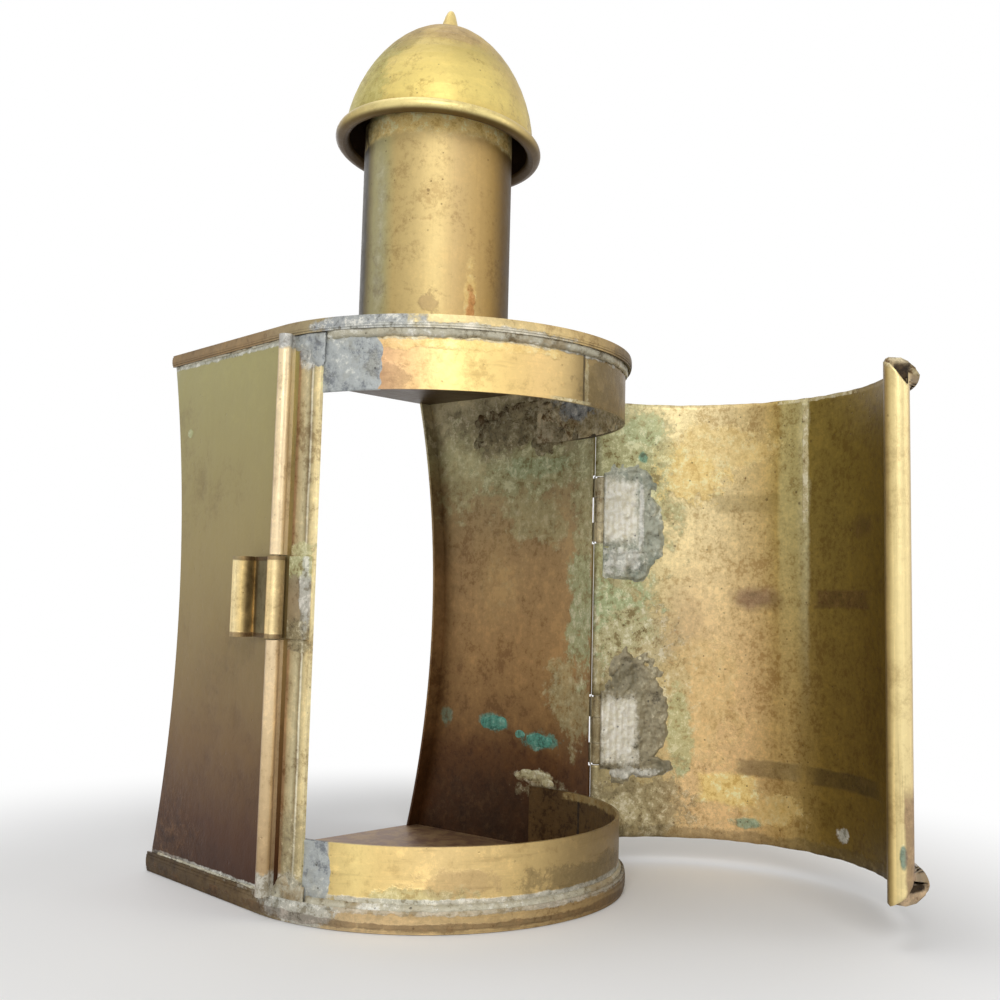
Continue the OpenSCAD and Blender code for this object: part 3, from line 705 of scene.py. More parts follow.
            {"u": -50, "z": 121.4, "w": 13, "h": 3, "of": "solder", "amount": 0.85, "ragged": 0.8, "grain": 3},
            {"u": -30, "z": 120.4, "w": 30, "h": 1, "of": "paleSolder", "amount": 0.7, "ragged": 0.9, "grain": 2},
            {"u": 24, "z": 121, "w": 16, "h": 3, "of": "grime", "amount": 0.5, "ragged": 1.0, "grain": 4},
        ],
    },
    "chimney_tube": {
        "unroll": {"about": (0, 4.1), "radius": 18.2}, "along": "u", "centre": (0, 4.1),
        # Painted light round the chimney: a highlight near -13 mm, painted shade at both edges near -38 mm and past 6
        # mm, and a grey-green painted reflection near -28 mm
        "tones": [(-57, (112, 90, 50)), (-46, (84, 66, 34)), (-38, (40, 30, 12)), (-35, (50, 40, 18)), (-32.8, (120, 108, 68)),
                  (-30.6, (164, 156, 114)), (-26.5, (170, 160, 112)), (-23.5, (190, 166, 110)),
                  (-17, (200, 176, 120)), (-13, (212, 188, 130)), (-8.6, (204, 176, 122)), (-4, (188, 158, 102)),
                  (1.5, (158, 128, 72)), (6, (104, 80, 38)), (12, (76, 58, 26)), (24, (96, 76, 40)), (57, (112, 90, 50))],
        "wobble": 1.8, "cloud": 12, "mottle": 2.8, "mottled": 0.8, "grained": 0.5, "dark": 0.4, "light": 0.16,
        "brush": (1, 1, 0.04), "lineSize": 2, "brushed": 0.08, "pits": 0.45, "rough": 0.5, "metal": 0.4,
        "dents": 1.4, "seed": 11,
        "stains": [
            {"u": -4.6, "z": 134, "w": 1.7, "h": 11, "of": "honey", "amount": 0.35, "ragged": 0.7, "grain": 3},
            {"u": -4.4, "z": 130, "w": 1.3, "h": 8, "of": "rust", "amount": 0.6, "ragged": 0.8, "grain": 2.4},
            {"u": -4, "z": 124.6, "w": 2.2, "h": 2.4, "of": "rust", "amount": 0.75, "ragged": 0.8, "grain": 2.4},
            {"u": -12, "z": 124.6, "w": 7, "h": 1.8, "of": "chalk", "amount": 0.7, "ragged": 0.9, "grain": 2.4},
            {"u": -14, "z": 133, "w": 2.4, "h": 3, "of": "mauve", "amount": 0.35, "ragged": 1.2, "grain": 2},
            # Painted light: a bright band just under the cap, over the place where the cap's shadow falls
            {"u": -12, "z": 176.4, "w": 26, "h": 3, "of": "honey", "amount": 0.95, "ragged": 0.5,
             "square": True, "soft": 0.6},
            # Painted reflection: a soft grey strip near the chimney's left edge
            {"u": -28, "z": 150, "w": 2.4, "h": 24, "of": "solder", "amount": 0.22, "ragged": 0.7, "soft": 1},
        ],
        "inner": {"tones": [(120, (60, 44, 26)), (180, (44, 32, 20))], "dull": 0.6},
    },
    "cap_straps": {"tones": [(150, (70, 54, 32)), (200, (84, 66, 40))], "seed": 12, "metal": 0.35},
    "cap_dome": {
        "unroll": {"about": (0, 4.1), "radius": 20}, "centre": (0, 4.1), "along": "z",
        # Painted highlight: a lighter band round the dome from about 180 to 192 mm
        "tones": [(174, (140, 116, 62)), (178, (200, 176, 104)), (182, (222, 200, 120)), (190, (216, 194, 116)),
                  (195, (190, 170, 100)), (203, (186, 162, 102)), (209, (194, 166, 110))],
        "wobble": 6, "cloud": 8, "mottle": 2.4, "mottled": 0.9, "grained": 0.5, "dark": 0.45, "light": 0.12,
        "brush": (0.2, 0.2, 1), "brushed": 0.08, "pits": 0.45, "rough": 0.44, "metal": 0.45, "dents": 2, "seed": 13,
        "stains": [
            {"u": -36, "z": 190, "w": 10, "h": 14, "of": "moss", "amount": 0.6, "ragged": 0.8, "grain": 7},
            {"u": -16, "z": 203, "w": 30, "h": 6, "of": "tan", "amount": 0.4, "ragged": 0.8, "grain": 5,
             "square": True},
            {"u": -27, "z": 199, "w": 8, "h": 5, "of": "olive", "amount": 0.35, "ragged": 0.9},
            {"u": -8, "z": 200, "w": 8, "h": 4, "of": "mauve", "amount": 0.3, "ragged": 0.9},
            {"u": 6, "z": 190, "w": 8, "h": 12, "of": "mauve", "amount": 0.35, "ragged": 0.9, "soft": 1},
            # Painted shade: soft dark bands down the dome's right side (this one) and left side (the next)
            {"u": 16, "z": 188, "w": 6, "h": 14, "of": "grime", "amount": 0.6, "ragged": 0.7, "soft": 1},
            {"u": -46, "z": 188, "w": 5, "h": 14, "of": "grime", "amount": 0.55, "ragged": 0.7, "soft": 1},
        ],
        "inner": {"tones": [(174, (74, 54, 32)), (210, (44, 32, 20))], "dull": 0.6},
    },
    "cap_rim": {
        "unroll": {"about": (0, 4.1), "radius": 24}, "centre": (0, 4.1), "along": "u",
        # Painted highlight across the front, painted shade towards the left and right sides, and 'under' paints shade
        # on the rim's lower faces
        "tones": [(-76, (56, 42, 20)), (-52, (60, 44, 22)), (-44, (160, 138, 80)), (-30, (228, 210, 144)),
                  (-10, (232, 214, 146)), (4, (196, 172, 110)), (14, (120, 98, 58)), (30, (96, 76, 44)),
                  (76, (84, 66, 38))],
        "wobble": 3, "mottled": 0.6, "grained": 0.4, "dark": 0.4, "light": 0.3, "brushed": 0.15, "pits": 0.3,
        "brush": (0.2, 0.2, 1), "rough": 0.38, "metal": 0.5, "seed": 14, "under": 0.9, "undersideShadeTone": (88, 68, 36),
        "inner": {"tones": [(170, (110, 88, 50)), (184, (96, 76, 44))], "dull": 0.4, "under": 0.5},
    },
    "cap_finial": {
        "tones": [(204, (196, 170, 108)), (213, (222, 200, 132))], "wobble": 2, "pits": 0.2, "rough": 0.36,
        "metal": 0.5, "seed": 15,
    },
    "hinge": {
        "tones": [(20, (150, 132, 96)), (42, (160, 144, 108)), (80, (186, 174, 140)), (100, (196, 186, 156))],
        "wobble": 6, "mottle": 2, "mottled": 1.3, "grained": 0.9, "dark": 0.7, "light": 0.4, "brush": (1, 1, 0.06),
        "brushed": 0.5, "lineSize": 1.6, "pits": 0.6, "rough": 0.48, "metal": 0.35, "seed": 16,
        "stains": [{"u": -16, "z": 33, "w": 30, "h": 12, "of": "crust", "amount": 0.45, "ragged": 1.2, "grain": 4}],
    },
}


def dressNode(name, material):
    mesh = nodes[name].data
    mesh.materials.clear()
    mesh.materials.append(material)


for name in ("left_wall", "right_wall", "latch_post", "latch_rail", "latch_plate", "latch_hasp", "upper_band",
             "lower_band", "base_tray", "top_plate", "chimney_tube", "cap_straps", "cap_dome", "cap_rim",
             "cap_finial"):
    dressNode(name, agedBrass(name + "Brass", caseLooks[name]))
hingeBrass = agedBrass("hingeBrass", caseLooks["hinge"])
for name in ("upper_wall_leaf", "upper_door_leaf", "upper_hinge_pin", "lower_wall_leaf", "lower_door_leaf",
             "lower_hinge_pin", "latch_pin"):
    dressNode(name, hingeBrass)
print("case dressed")


# Solder

doorOpen = 80.5
hinge = Vector(joints["door_hinge"]["pos_m"])
hinge.z = 0
swing = Matrix.Translation(hinge) @ Matrix.Rotation(math.radians(doorOpen), 4, "Z") @ Matrix.Translation(-hinge)
doorCentre = swing @ Vector((0, 0, 0)) / mm
doorUnroll = {"about": (doorCentre.x, doorCentre.y), "radius": 45.0, "zero": 90 - 16 + doorOpen, "way": -1}
solderLooks = {
    "seam": {"tones": ((120, 108, 84), (190, 184, 162), (240, 238, 228)), "stain": (150, 126, 84), "stained": 0.6,
             "seed": 1},
    "patch": {"tones": ((118, 122, 126), (174, 178, 176), (226, 226, 216)), "stain": (150, 144, 120),
              "stained": 0.35, "seed": 2},
    "leaf": {"tones": ((106, 108, 96), (172, 174, 156), (232, 232, 214)), "stain": (122, 136, 124), "stained": 0.6,
             "seed": 3, "unroll": doorUnroll, "stains": [
                 {"u": 4.8, "z": 88.8, "w": 5.2, "h": 8.6, "of": "cream", "amount": 0.9, "ragged": 0.3,
                  "square": True, "grain": 2},
                 {"u": 10.6, "z": 88, "w": 0.7, "h": 9, "of": "paleSolder", "amount": 0.9, "ragged": 0.6,
                  "square": True, "grain": 2},
                 {"u": 5, "z": 76, "w": 6, "h": 3.4, "of": "paleSolder", "amount": 0.7, "ragged": 1.1, "grain": 2}]},
    "lowLeaf": {"tones": ((98, 90, 70), (160, 150, 122), (214, 204, 172)), "stain": (120, 114, 90), "stained": 0.6,
                "seed": 4, "unroll": doorUnroll, "stains": [
                    {"u": 5, "z": 32.8, "w": 5.4, "h": 8.6, "of": "cream", "amount": 0.8, "ragged": 0.4,
                     "square": True, "grain": 2},
                    {"u": 8, "z": 22, "w": 9, "h": 1.4, "of": "paleSolder", "amount": 0.6, "ragged": 1.1,
                     "grain": 2}]},
}
solders = {name: oldSolder(name + "Solder", look) for name, look in solderLooks.items()}
dressNode("chimney_solder", solders["seam"])
seams = {
    "from": -58.0, "to": 54.0, "pitch": 0.5,
    "top": [(-0.3, 118.9, 0), (0.25, 118.5, 1), (0.8, 119.2, 1), (0.95, 120.0, 1), (0.8, 120.9, 0),
            (-0.3, 120.9, 0)],
    "base": [(-0.3, 3.6, 0), (0.8, 3.6, 0), (1.2, 4.5, 1), (0.8, 4.9, 1), (0.35, 5.5, 1), (-0.3, 5.3, 0)],
}


# A seam's section swells sideways only, so that it keeps its height
def frontSeam(name, part, node, seed):
    count = int((seams["to"] - seams["from"]) / seams["pitch"])
    points = []
    section = seams[part]
    for i in range(count + 1):
        u = seams["from"] + seams["pitch"] * i
        ending = min(1, i / 4, (count - i) / 4)
        for k, (out, level, free) in enumerate(section):
            rough = free * (0.32 * lump(u, k * 0.9, 1.7, seed) + 0.2 * lump(u, k * 0.9, 0.7, seed + 1))
            middle = sum(spot[1] for spot in section) / len(section)
            reach = out + rough + free * 0.25 * lump(u, 0, 9, seed + 2)
            reach *= 1 - 0.5 * smooth(u, -25, 25)
            place, outward = onPlan(u, reach * (0.4 + 0.6 * ending), level + rough * 0.8 * (1 if level > middle else -1))
            points.append(place)
    faces = gridFaces(count + 1, len(section), roundColumns=True)
    faces.append(tuple(reversed(range(len(section)))))
    faces.append(tuple(range(len(points) - len(section), len(points))))
    return finishPiece(name, points, faces, solders["seam"], "case", [node])


frontSeam("topSeam", "top", "top_solder", 5)
frontSeam("baseSeam", "base", "base_solder", 8)


# Thin bead of solder along a wall's edge
def wallBead(name, side, z, radius, seed):
    quarter = plan["radius"] * math.pi / 2
    path = [onPlan(side * (quarter + 1 + 0.6 * i), plan["sheet"], z) for i in range(78)]
    points = []
    for i, (place, outward) in enumerate(path):
        swell = radius * max(0.15, 0.7 + 0.9 * lump(i * 0.6, 0, 2.4, seed) + 0.5 * lump(i * 0.6, 0, 0.9, seed + 1))
        for k in range(7):
            angle = 2 * math.pi * k / 7
            points.append(place + outward * (math.cos(angle) * swell * mm)
                          + Vector((0, 0, math.sin(angle) * swell * mm)))
    faces = gridFaces(len(path), 7, roundColumns=True)
    faces.append(tuple(reversed(range(7))))
    faces.append(tuple(range(len(points) - 7, len(points))))
    return finishPiece(name, points, faces, solders["seam"], "case")


wallBead("leftTopBead", -1, 120.1, 0.42, 11)
wallBead("leftFootBead", -1, 4.5, 0.34, 12)
wallBead("rightTopBead", 1, 120.1, 0.36, 13)
wallBead("rightFootBead", 1, 4.5, 0.34, 14)


# Bead on the right wall's front edge beside a hinge
def hingeBead(name, low, high, seed):
    sides = 8
    count = 36
    centre = hinge + Vector((-1.53, 0.72, 0)) * mm
    points = []
    for i in range(count + 1):
        level = low + (high - low) * i / count
        radius = 0.2 + 0.05 * lump(level, 0, 1.4, seed)
        for k in range(sides):
            angle = 2 * math.pi * k / sides
            points.append(centre + Vector((math.cos(angle) * radius, math.sin(angle) * radius, level)) * mm)
    faces = gridFaces(count + 1, sides, roundColumns=True)
    faces.append(tuple(reversed(range(sides))))
    faces.append(tuple(range(count * sides, (count + 1) * sides)))
    return finishPiece(name, points, faces, solders["lowLeaf"], "case")


hingeBead("upperHingeBead", 80.2, 97.4, 15)
hingeBead("lowerHingeBead", 24.2, 41.4, 16)


def bandSurface(u, z, height):
    return onPlan(u, height, z)[0]


def postSurface(u, z, height):
    return onPlan(u, plan["sheet"] + height, z)[0]


def insideSurface(u, z, height):
    return onPlan(u, -plan["sheet"] - height, z)[0]


def wallInsideSurface(u, z, height):
    quarter = plan["radius"] * math.pi / 2
    return onPlan(quarter + u, -height, z)[0]


depositPiece("upperBandSolder", bandSurface, (-59.6, -43, 107.4, 120, 0.35),
             lumpyHeight([(-54, 113, 9, 10)], 0.28, 0.12, 0.7, 21, 6, 1.6), solders["patch"], "case")
depositPiece("lowerBandSolder", bandSurface, (-59.6, -50, 4.4, 16.4, 0.35),
             lumpyHeight([(-59, 10, 6.4, 8)], 0.28, 0.12, 0.7, 22, 6, 1.6), solders["patch"], "case")
depositPiece("postFootSolder", postSurface, (-68, -58, 4.2, 12, 0.3),
             lumpyHeight([(-62, 4.6, 5.6, 2.6), (-64, 6, 2, 3)], 0.55, 0.4, 0.8, 23, 4), solders["seam"], "case")
depositPiece("postTopSolder", postSurface, (-68, -58, 112, 120.2, 0.3),
             lumpyHeight([(-62, 120, 5.6, 3.6), (-60, 117, 2, 4)], 0.45, 0.35, 0.8, 24, 4), solders["patch"], "case")
depositPiece("bandInsideCrust", insideSurface, (34, 76, 107.8, 119.6, 0.5),
             lumpyHeight([(52, 113, 18, 6), (64, 116, 12, 4), (44, 116, 9, 4)], 0.6, 0.6, 0.9, 25, 4),
             agedBrass("insideCrust", {
                 "tones": [(104, (186, 170, 132)), (122, (178, 166, 136))], "mottled": 2, "grained": 1.4, "dark": 0.9,
                 "light": 0.6, "rough": 0.6, "metal": 0.1, "bump": 1, "seed": 30, "pits": 0.7,
                 "unroll": {"about": (0, 0), "radius": 44.0},
                 "stains": [{"u": 52, "z": 112, "w": 22, "h": 9, "of": "chalk", "amount": 0.5, "ragged": 1.4,
                             "grain": 2}, {"u": 62, "z": 117, "w": 10, "h": 4, "of": "solder", "amount": 0.8,
                                           "ragged": 0.9, "grain": 3}]}), "case")
wallCrust = agedBrass("wallCrust", {
    "tones": [(10, (150, 132, 98)), (26, (110, 158, 140)), (35, (110, 168, 148)), (100, (170, 164, 128)),
              (120, (150, 138, 108))], "wobble": 3, "mottled": 1.8, "grained": 1.2, "dark": 0.9, "light": 0.6,
    "rough": 0.6, "metal": 0.08, "bump": 1, "seed": 31, "pits": 0.6,
    "stains": [{"u": 7, "z": 18.8, "w": 9, "h": 4, "of": "chalk", "ragged": 0.6, "grain": 2},
               {"u": 16, "z": 110, "w": 20, "h": 7, "of": "crust", "amount": 0.6, "ragged": 1.2, "grain": 3},
               {"u": 22.6, "z": 31.9, "w": 7, "h": 4, "of": "turquoise", "ragged": 0.4},
               {"u": 5.5, "z": 28.2, "w": 7, "h": 4, "of": "turquoise", "ragged": 0.6}]})
depositPiece("wallTopCrust", wallInsideSurface, (0.4, 34, 103, 119.8, 0.5),
             lumpyHeight([(10, 115, 14, 6), (22, 113, 10, 5), (6, 109, 6, 4)], 0.5, 0.7, 0.9, 26, 3.5), wallCrust,
             "case")
depositPiece("turquoiseSpots", wallInsideSurface, (0.4, 30, 24, 36, 0.35),
             lumpyHeight([(22.6, 31.9, 4.6, 1.9), (6.5, 28.2, 4.6, 1.7), (13, 29.5, 1.6, 1.1)], 0.4, 0.5, 0.9, 27, 3),
             wallCrust, "case")
depositPiece("fluxSpots", wallInsideSurface, (0.4, 18, 14, 23, 0.35),
             lumpyHeight([(8, 19, 4.6, 1.3), (3, 17.4, 2.4, 1.2), (13, 18.6, 2, 0.8)], 0.5, 0.6, 0.9, 28, 3),
             wallCrust, "case")
print("solder laid")


# A flared cone stands on the dome
finial = {"lean": 4.4, "foot": 177.2, "back": 4.1, "sides": 32, "profile": [
    (0, 29.6), (3.0, 29.6), (3.0, 30.5), (2.5, 30.9), (2.2, 31.6), (1.95, 32.5), (1.7, 33.5), (1.35, 34.6),
    (1.05, 35.4), (0.7, 36.0), (0.3, 36.3), (0, 36.35)]}


def makeFinial():
    lean = Matrix.Translation(Vector((0, finial["back"], finial["foot"])) * mm) \
        @ Matrix.Rotation(math.radians(finial["lean"]), 4, "Y")
    points = []
    for radius, level in finial["profile"]:
        for k in range(finial["sides"]):
            angle = 2 * math.pi * k / finial["sides"]
            reach = max(radius, 0.01) * (1 + 0.05 * lump(level, math.cos(angle) * 3, 1.5, 70))
            points.append(lean @ (Vector((math.cos(angle) * reach, math.sin(angle) * reach, level)) * mm))
    rows, sides = len(finial["profile"]), finial["sides"]
    faces = gridFaces(rows, sides, roundColumns=True)
    faces.append(tuple(reversed(range(sides))))
    faces.append(tuple(range((rows - 1) * sides, rows * sides)))
    return finishPiece("finialCone", points, faces, agedBrass("finialBrass", caseLooks["cap_finial"]), "case",
                       ["cap_finial"])


makeFinial()

# Door

door = {
    "inside": 45.0, "sheet": 0.58, "firstTurn": -16.5, "lastTurn": -162.2, "foot": 6.2, "top": 117.0,
    "wave": 0.14, "edgeWave": 0.18, "pitch": 1.0, "rows": 90, "cutBack": 2.2, "corner": 0.7,
    "hem": (1.5, 0.5, 40, 168, 7),                     # round the hinge: radius, sheet, turns and how many
    "hemBelow": 0.5, "leafHeights": [(24.6, 41.0), (80.6, 97.0)],
}

# Place on the open door, from its turn and radius when it is shut
def onDoor(turn, radius, z):
    angle = math.radians(turn)
    return swing @ Vector((radius * mm * math.cos(angle), radius * mm * math.sin(angle), z * mm))


# Deposit on the door's inner face, by millimetres from the hinge's edge
def doorSurface(u, z, height):
    return onDoor(-16 - math.degrees(u / door["inside"]), door["inside"] - height, z)


def doorRows():
    rows = [door["foot"] + (door["top"] - door["foot"]) * i / door["rows"] for i in range(door["rows"] + 1)]
    for low, high in door["leafHeights"]:
        for level in (low - door["hemBelow"], high + door["hemBelow"]):
            nearest = min(range(len(rows)), key=lambda i: abs(rows[i] - level))
            rows[nearest] = level
    return rows


def makeDoorSheet():
    turns = []
    turn = door["firstTurn"]
    while turn > door["lastTurn"]:
        turns.append(turn)
        turn -= door["pitch"]
    turns.append(door["lastTurn"])
    sides = ([], [])
    rows = doorRows()
    radius, sheet, first, last, count = door["hem"]
    hem = [math.radians(first + (last - first) * k / (count - 1)) for k in range(count)]
    for level in rows:
        share = (level - door["foot"]) / (door["top"] - door["foot"])
        for k, angle in enumerate(hem):
            outer = radius - 0.13 * k / (count - 1) + 0.03 * lump(level, 0, 2.5, 40)
            for side, reach in zip(sides, (outer, outer - sheet)):
                spot = hinge + Vector((math.cos(angle), math.sin(angle), 0)) * (reach * mm)
                side.append(swing @ Vector((spot.x, spot.y, level * mm)))
        for turn in turns:
            at = (turn * 0.8, level)
            wave = door["wave"] * (lump(*at, 17, 1) + 0.35 * lump(*at, 5, 2)) * smooth(abs(turn - door["lastTurn"]), 0, 20)
            ending = abs(2 * share - 1) ** 10
            z = level + door["edgeWave"] * lump(*at, 3, 3) * ending
            fall = door["corner"] * smooth(-turn, 140, -door["lastTurn"]) * ending
            fall += door["cutBack"] * smooth(-turn, -door["lastTurn"] - 5, -door["lastTurn"] - 1.5) * ending
            z = z - fall if share > 0.5 else z + fall
            sides[0].append(onDoor(turn, door["inside"] + wave, z))
            sides[1].append(onDoor(turn, door["inside"] + door["sheet"] + min(wave, 0), z))
    columns = len(turns) + len(hem)
    total = len(sides[0])
    kept = []
    for face in gridFaces(len(rows), columns):
        low, high = rows[face[0] // columns], rows[face[0] // columns + 1]
        notched = any(high > bottom - door["hemBelow"] + 0.01 and low < top + door["hemBelow"] - 0.01
                      for bottom, top in door["leafHeights"])
        if not (notched and face[0] % columns < len(hem)):
            kept.append(face)
    faces = [tuple(reversed(face)) for face in kept] + [tuple(k + total for k in face) for face in kept]
    edges = [(a, b) for face in kept for a, b in zip(face, face[1:] + face[:1])]
    known = set(edges)
    faces += [(a, b, b + total, a + total) for a, b in edges if (b, a) not in known]
    return finishPiece("doorSheet", sides[0] + sides[1], faces, agedBrass("doorBrass", doorLook), "door",
                       ["door_panel"])


doorLook = {
    "unroll": doorUnroll, "along": "u", "wobble": 3, "cloud": 12, "mottle": 2.6, "grain": 0.7, "mottled": 1.1,
    "grained": 1.0, "dark": 0.6, "speck": (190, 168, 132), "light": 0.32, "brush": (1, 1, 0.1), "lineSize": 3, "brushed": 0.1,
    "pits": 0.55, "pitCell": 2.0, "pitSize": 0.3, "pitShare": 0.3, "rough": 0.46, "metal": 0.42, "dents": 2,
    "seed": 21,
    # The pale stripe at 53.8–54.8 mm is a painted highlight on a crease in the sheet; past 55.8 mm the sheet's own
    # olive tone is made darker with painted shade
    "tones": [(-2, (180, 176, 136)), (8, (206, 196, 150)), (16, (222, 206, 156)), (30, (226, 206, 156)),
              (42, (202, 176, 118)), (46.4, (184, 158, 92)), (47.6, (196, 180, 120)), (52, (190, 176, 118)),
              (53.8, (206, 196, 146)), (54.8, (212, 204, 158)), (55.8, (134, 114, 54)), (68, (122, 102, 42)),
              (80, (104, 84, 26)), (90, (98, 78, 22)), (115, (98, 78, 24))],
    # The dark olive past about 54 mm here is also partly painted shade
    "low": [(-2, (166, 154, 116)), (14, (200, 180, 130)), (24, (228, 194, 140)), (38, (226, 190, 134)),
            (46, (190, 158, 98)), (50, (194, 164, 102)), (54, (156, 130, 72)), (60, (126, 102, 44)),
            (80, (100, 80, 26)), (115, (96, 76, 24))],
    "lowFrom": 30, "lowTo": 100,
    "stains": [
        {"u": 5, "z": 104, "w": 15, "h": 11, "of": "verdigris", "amount": 0.8, "ragged": 0.9, "grain": 4},
        {"u": 2, "z": 88, "w": 17, "h": 22, "of": "verdigris", "amount": 0.75, "ragged": 0.9, "grain": 4},
        {"u": 5, "z": 60, "w": 9, "h": 13, "of": "mint", "amount": 0.85, "ragged": 1.1, "grain": 3},
        {"u": 8, "z": 54, "w": 11, "h": 12, "of": "chalk", "amount": 0.7, "ragged": 1.3, "grain": 2.4},
        {"u": 18, "z": 45, "w": 7, "h": 12, "of": "chalk", "amount": 0.6, "ragged": 1.3, "grain": 2},
        {"u": 21, "z": 32, "w": 4, "h": 12, "of": "mint", "amount": 0.75, "ragged": 0.8, "grain": 3},
        {"u": 8, "z": 14, "w": 18, "h": 9, "of": "crust", "amount": 0.6, "ragged": 1.2, "grain": 4},
        {"u": 4, "z": 12, "w": 10, "h": 5, "of": "chalk", "amount": 0.5, "ragged": 1.3, "grain": 2},
        {"u": 12, "z": 110, "w": 6, "h": 5, "of": "mint", "amount": 0.6, "ragged": 1.2, "grain": 3},
        {"u": 11, "z": 103, "w": 1.4, "h": 1.6, "of": "turquoise", "amount": 0.7, "ragged": 0.8},
        {"u": 23, "z": 98, "w": 9, "h": 7, "of": "honey", "amount": 0.6, "ragged": 1.3, "grain": 2.2},
        {"u": 30, "z": 104, "w": 14, "h": 8, "of": "honey", "amount": 0.35, "ragged": 1.0, "grain": 4},
        {"u": 38, "z": 91, "w": 10, "h": 2.6, "of": "olive", "amount": 0.3, "ragged": 0.5, "square": True},
        {"u": 22, "z": 60, "w": 8, "h": 14, "of": "mauve", "amount": 0.3, "ragged": 0.7, "soft": 1},
        {"u": 40, "z": 67, "w": 7, "h": 3.2, "of": "mauve", "amount": 0.75, "ragged": 0.5, "soft": 0.8},
        {"u": 46, "z": 66, "w": 3, "h": 3, "of": "umber", "amount": 0.3, "ragged": 0.6, "soft": 0.8},
        {"u": 67, "z": 67, "w": 10.5, "h": 2.4, "of": "umber", "amount": 0.55, "ragged": 0.25, "soft": 0.3,
         "square": True},
        {"u": 74, "z": 84, "w": 5, "h": 3.4, "of": "umber", "amount": 0.4, "ragged": 0.4, "soft": 0.6},
        {"u": 44, "z": 24.6, "w": 9.5, "h": 2.4, "of": "grime", "amount": 0.5, "ragged": 0.3, "square": True},
        {"u": 68, "z": 24.4, "w": 14, "h": 2.2, "of": "soot", "amount": 0.5, "ragged": 0.25, "square": True},
        {"u": 33, "z": 19, "w": 8.5, "h": 4.2, "of": "honey", "amount": 0.95, "ragged": 0.45, "soft": 0.3,
         "square": True, "crusty": 0.3},
        {"u": 45, "z": 15, "w": 9, "h": 4, "of": "honey", "amount": 0.35, "ragged": 1.0, "grain": 3},
        {"u": 38, "z": 11, "w": 4, "h": 1.6, "of": "turquoise", "amount": 0.6, "ragged": 0.6, "grain": 2.4},
        {"u": 66, "z": 12, "w": 2, "h": 2, "of": "paleSolder", "amount": 0.85, "ragged": 0.7, "grain": 2},
        {"u": 50, "z": 6.5, "w": 80, "h": 2.6, "of": "grime", "amount": 0.5, "ragged": 0.8, "square": True},
        {"u": 60, "z": 116.6, "w": 12, "h": 0.5, "of": "chalk", "amount": 0.5, "ragged": 1.0, "grain": 2,
         "square": True},
        # Painted highlight: the pale upright streak along a crease at about 54.4 mm
        {"u": 54.4, "z": 100, "w": 0.8, "h": 14, "of": "chalk", "amount": 0.9, "ragged": 0.7, "grain": 2,
         "square": True},
        {"u": 24, "z": 40, "w": 14, "h": 18, "of": "gold", "amount": 0.3, "ragged": 1.0, "grain": 4},
    ],
}
makeDoorSheet()

noseAxis = onDoor(-162.2, 47.6, 0) / mm
rollLook = {
    "unroll": {"about": (noseAxis.x, noseAxis.y), "radius": 2.6}, "centre": (noseAxis.x, noseAxis.y), "along": "u",
    # Painted shade at the left edge near -6 mm, a painted highlight near -2.3 mm, and painted shade towards the right
    # past 1 mm
    "tones": [(-8, (110, 88, 46)), (-6.0, (104, 84, 42)), (-5.2, (176, 150, 92)), (-4.0, (222, 200, 140)),
              (-2.3, (238, 218, 160)), (-0.4, (228, 206, 150)), (0.8, (190, 166, 124)), (2.0, (140, 118, 84)),
              (8, (120, 98, 60))],
    "wobble": 0.5, "cloud": 12, "mottled": 0.5, "grained": 0.3, "dark": 0.4, "light": 0.3, "brush": (1, 1, 0.02),
    "lineSize": 1.0, "brushed": 0.35, "pits": 0.3, "rough": 0.38, "metal": 0.45, "seed": 22,
    "stains": [
        {"u": -2.3, "z": 17.4, "w": 0.9, "h": 2.6, "of": "sea", "amount": 0.9, "ragged": 0.3, "grain": 2},
        {"u": -0.3, "z": 18, "w": 1.9, "h": 12, "of": "mauve", "amount": 0.8, "ragged": 0.3, "square": True},
        {"u": -2, "z": 6, "w": 6, "h": 2, "of": "mauve", "amount": 0.6, "ragged": 0.8, "grain": 2},
        {"u": -2, "z": 115, "w": 6, "h": 1.4, "of": "chalk", "amount": 0.5, "ragged": 0.8, "grain": 2},
    ],
    "inner": {
        # Painted shade: dark tones down the hollow inside the roll, between about 13 and 111 mm
        "tones": [(6, (206, 186, 152)), (8, (176, 152, 122)), (11, (196, 172, 140)), (13.5, (60, 46, 32)),
                  (60, (40, 30, 20)), (108, (34, 26, 18)), (111.5, (58, 46, 32)), (113, (176, 162, 128)),
                  (115, (150, 132, 98)), (116.4, (214, 202, 170))],
        "wobble": 1.4, "mottled": 1.6, "grained": 1.2, "dark": 1, "light": 0.5, "dull": 0.5,
        "stains": [
            # Painted shadow: dark spots for the deep hollow at the roll's top and foot
            {"u": 4.9, "z": 111, "w": 1.1, "h": 4.6, "of": "soot", "amount": 1, "square": True, "ragged": 0.4},
            {"u": 4.4, "z": 10.4, "w": 0.8, "h": 1.4, "of": "soot", "amount": 1, "ragged": 0.3, "grain": 2},
        ],
    },
}
